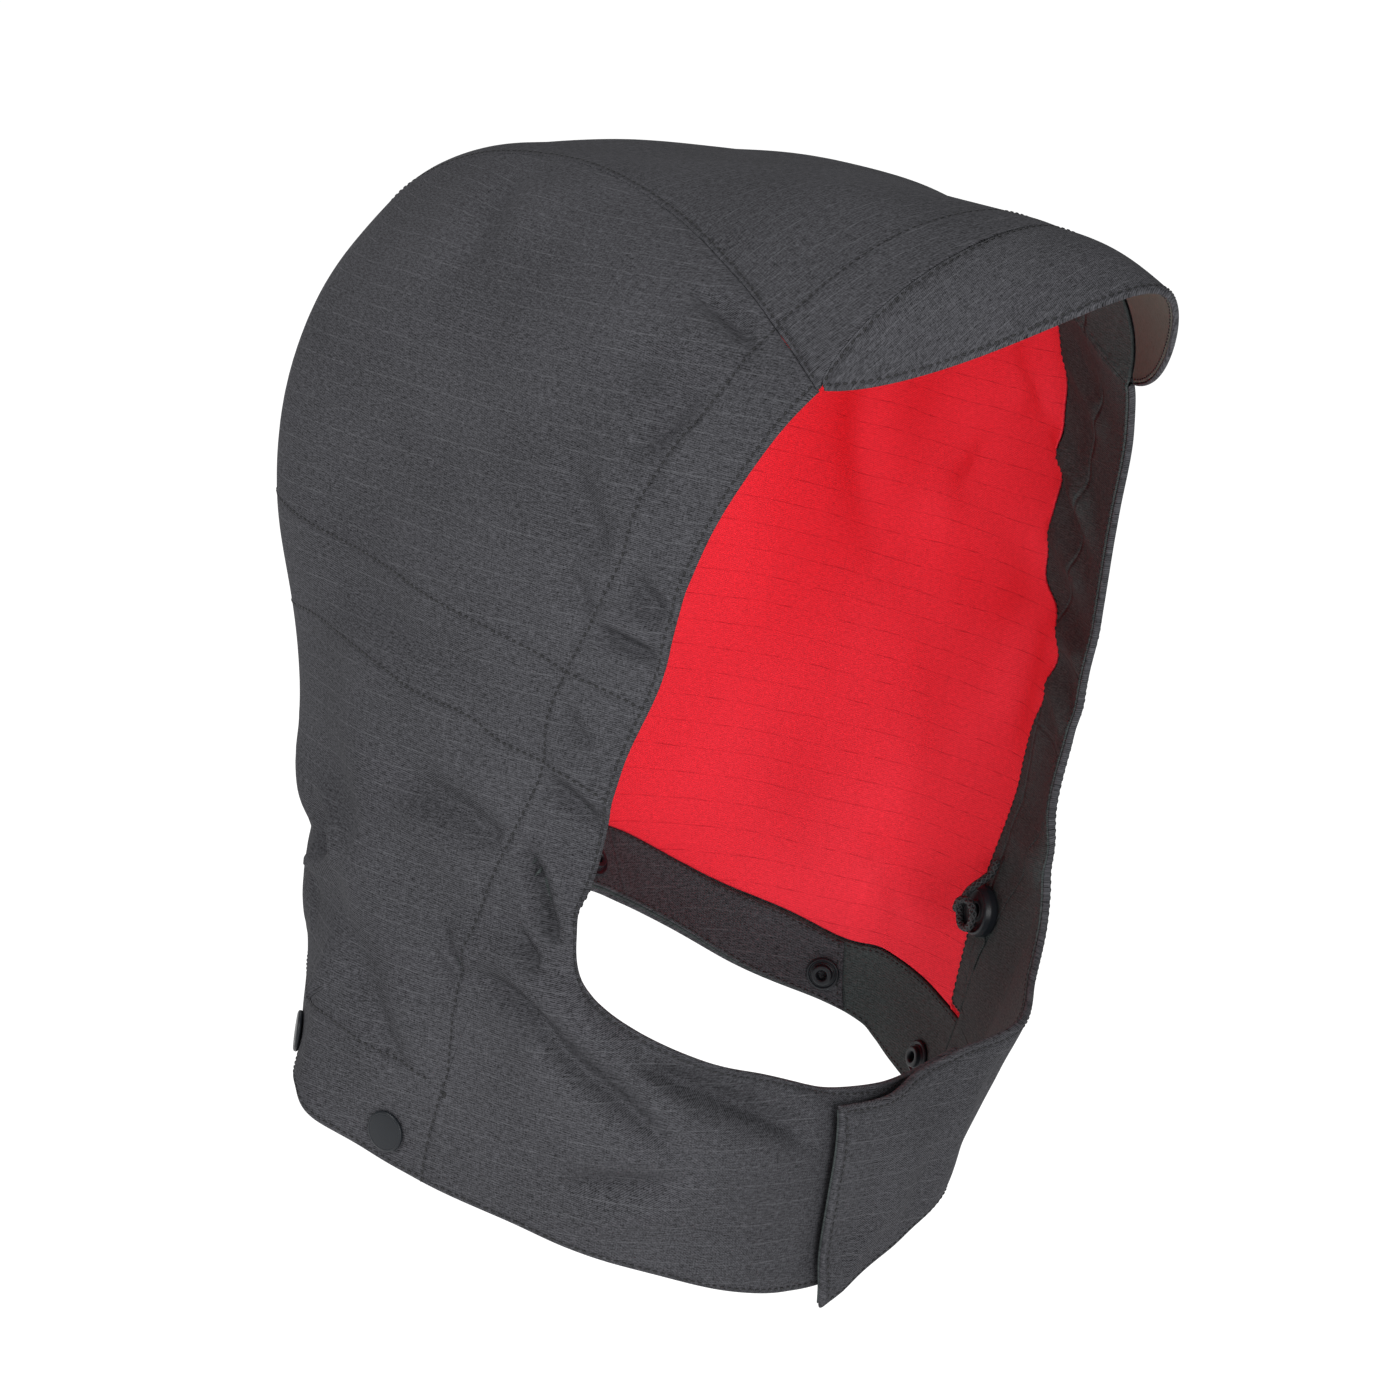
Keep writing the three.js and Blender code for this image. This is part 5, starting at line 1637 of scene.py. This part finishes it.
class HOOD_OT_stitching(bpy.types.Operator):
    """Makes the rows of stitching outside, inside and on the peak"""

    bl_idname = "hood.stitching"
    bl_label = "Stitching"

    def execute(self, context):
        in_from = sizes().edge_stitch * 1000
        outside, inside = [], []
        for side, (upper, tip) in SIDE_ENDS.items():
            for lines, depth, end in ((outside, 0, CROWN_SEAM), (inside, FACING_FOOT, FACING_TURN)):
                start = upper + LINE_START
                lines.append(edge_line(side, start, CROWN_SEAM, True, depth, in_from))
                lines.append(edge_line(side, tip + LINE_START, end, False, depth, in_from))
            down = np.linspace(face_top(side)(upper) + 0.03, 0.97, LINE_SAMPLES)
            slant = upper + (tip - upper) * down + in_from / pace(side, upper, down, 0)
            outside.append(cloth_line(side, slant, down, 0))
            for curve, low in (
                (upper_tunnel, UPPER_START),
                (lower_tunnel, LOWER_START),
                (facing_line, FACING_TURN),
                (band_line, BAND_START),
            ):
                around = np.linspace(low, CROWN_SEAM, LINE_SAMPLES)
                outside.append(cloth_line(side, around, curve(around)[:, 0], 0))
            down = np.linspace(facing_line(FACING_TURN)[0], 1.0, LINE_SAMPLES)
            outside.append(cloth_line(side, FACING_TURN, down, 0))
            around = np.linspace(FACING_TURN, CROWN_SEAM, LINE_SAMPLES)
            down = facing_foot(around)
            down = down - FACING_STITCH_IN / pace(side, around, down, 1)
            inside.append(cloth_line(side, around, down, FACING_FOOT))
            outside += bartack(side, FACING_TURN - TACK_BACK, band_line(BAND_START)[0], False, 0)
        inside += bartack("left", *SLIT_PLACE, False, FACING_FOOT)
        inside += bartack("left", LOCK_PLACE[0] - 0.026, LOCK_PLACE[1], True, FACING_FOOT)
        across = np.linspace(CROWN_SEAM, opposite(CROWN_SEAM), LINE_SAMPLES)
        for curve in (upper_tunnel, lower_tunnel, facing_line, band_line):
            outside.append(cloth_line("whole", across, curve(folded(across))[:, 0], 0))
        outside.append(cloth_line("whole", across, 1 - in_from / pace("whole", across, 1, 1), 0))
        down = np.linspace(0.004, 0.998, LINE_SAMPLES)
        for seam, sign in ((CROWN_SEAM, 1), (opposite(CROWN_SEAM), -1)):
            speed = pace("whole", seam + sign * 0.01, down, 0)
            outside.append(cloth_line("whole", seam + sign * TOPSTITCH_IN / speed, down, 0))
        for start, depth in ((FACING_TURN, FACING_FOOT), (STRIP_END, STRIP_FOOT)):
            places = np.linspace(start, opposite(start), LINE_SAMPLES * 2)
            top = band_top(places)
            for down, sign in ((top, 1), (1, -1)):
                inset = sign * in_from / pace("whole", places, down, 1)
                inside.append(cloth_line("whole", places, down + inset, depth))
        for end, sign in ((STRIP_END, 1), (opposite(STRIP_END), -1)):
            down = np.linspace(band_top(end) + 0.01, 0.99, LINE_SAMPLES)
            place = end + sign * in_from / pace("whole", end, down, 0)
            inside.append(cloth_line("whole", place, down, STRIP_FOOT))
        stitches("stitching_outside", outside, "shell_fabric")
        stitches("stitching_inside", inside, "facing_fabric")
        turns = np.linspace(PEAK_TUCK + 0.03, math.pi - PEAK_TUCK - 0.03, LINE_SAMPLES)
        reach = length_of(peak_surface(turns, 0.5)[3])
        edge, seam = 1 - FACING_STITCH_IN / reach, PEAK_STITCH_IN / reach
        peak = []
        for share, rise, sign in ((edge, 0.15, 1), (seam, 0.15, 1), (edge, -PEAK_UNDERSIDE, -1)):
            point, normal = peak_surface(turns, share)[:2]
            peak.append((point + normal * rise, normal * sign))
        stitches("stitching_peak", peak, "shell_fabric")
        return {"FINISHED"}


FLOOR_HEX = 0x8C8C8C
FLOOR_CLOUD_HEX = 0x909090
FLOOR_SIZE = 30.0
FLOOR_GLOW = 0.95
WORLD_GLOW = 0.32
LIT_POINT = (0, 0, -0.17)
# Columns: name, place, size, share of the key light's power
LAMPS = (
    ("key", (-2.1, -0.2, 1.2), 0.6, 0.9),
    ("front", (-1.0, -2.4, 0.1), 1.0, 1.05),
    ("top", (0.5, 1.2, 2.1), 1.0, 0.5),
)


class HOOD_OT_stage(bpy.types.Operator):
    """Makes the pale lit floor, the world and the soft lights"""

    bl_idname = "hood.stage"
    bl_label = "Stage"

    def execute(self, context):
        own = context.scene.hood_stage
        low = CAD_BOX[0][2] - own.floor_drop
        half = FLOOR_SIZE / 2
        square = ((-half, -half), (half, -half), (half, half), (-half, half))
        corners = np.array([(x, y, low) for x, y in square])
        floor = new_mesh("floor", corners, np.array([[0, 1, 2, 3]]))
        if floor.data.polygons[0].normal.z < 0:
            floor.data.flip_normals()
        # White acrylic sheet lit from behind, as under a product photograph: it shows no shadow
        sheet, tree, shader = new_material("opal_acrylic_sheet")
        cloud = noise(tree, object_place(tree), 0.6)
        looks = {
            "Base Color": mixed(tree, cloud, linear(FLOOR_HEX), linear(FLOOR_CLOUD_HEX)),
            "Roughness": 0.9,
            "Emission Color": (1, 1, 1, 1),
            "Emission Strength": FLOOR_GLOW,
        }
        set_inputs(tree, shader, looks)
        floor.data.materials.append(sheet)
        world = bpy.data.worlds.new("studio")
        context.scene.world = world
        world.use_nodes = True
        background = world.node_tree.nodes["Background"]
        background.inputs[0].default_value = (1, 1, 1, 1)
        background.inputs[1].default_value = WORLD_GLOW
        for name, place, size, share in LAMPS:
            data = bpy.data.lights.new(name, "AREA")
            data.energy, data.size = own.light_power * share, size
            lamp = add_object(name, data)
            lamp.location = place
            lamp.rotation_mode = "QUATERNION"
            ahead = Vector(LIT_POINT) - Vector(place)
            lamp.rotation_quaternion = ahead.to_track_quat("-Z", "Y")
        context.scene.view_settings.view_transform = "Standard"
        return {"FINISHED"}


class HOOD_PT_panel(bpy.types.Panel):
    """Lists the steps that dress the hood"""

    bl_idname = "HOOD_PT_panel"
    bl_label = "Detachable Hood"
    bl_space_type = "VIEW_3D"
    bl_region_type = "UI"
    bl_category = "Hood"

    def draw(self, context):
        for group in (context.scene.hood_sizes, context.scene.hood_stage):
            for name in group.bl_rna.properties.keys():
                if name not in ("rna_type", "name"):
                    self.layout.prop(group, name)
        for operator in OPERATORS:
            self.layout.operator(operator.bl_idname)


OPERATORS = (
    HOOD_OT_camera,
    HOOD_OT_cord_lock,
    HOOD_OT_drawcord,
    HOOD_OT_shell,
    HOOD_OT_facing,
    HOOD_OT_lining,
    HOOD_OT_neck_band,
    HOOD_OT_peak,
    HOOD_OT_tape,
    HOOD_OT_snaps,
    HOOD_OT_stitching,
    HOOD_OT_stage,
)
CLASSES = (HoodSizes, HoodStage, *OPERATORS, HOOD_PT_panel)


def register():
    """Registers every class and the two groups of properties."""
    for item in CLASSES:
        bpy.utils.register_class(item)
    bpy.types.Scene.hood_sizes = bpy.props.PointerProperty(type=HoodSizes)
    bpy.types.Scene.hood_stage = bpy.props.PointerProperty(type=HoodStage)


def unregister():
    """Takes back what register did."""
    del bpy.types.Scene.hood_stage
    del bpy.types.Scene.hood_sizes
    for item in reversed(CLASSES):
        bpy.utils.unregister_class(item)


def main():
    """Registers the tools and makes every piece in order."""
    register()
    for operator in OPERATORS:
        group, name = operator.bl_idname.split(".")
        getattr(getattr(bpy.ops, group), name)()


if __name__ == "__main__":
    main()
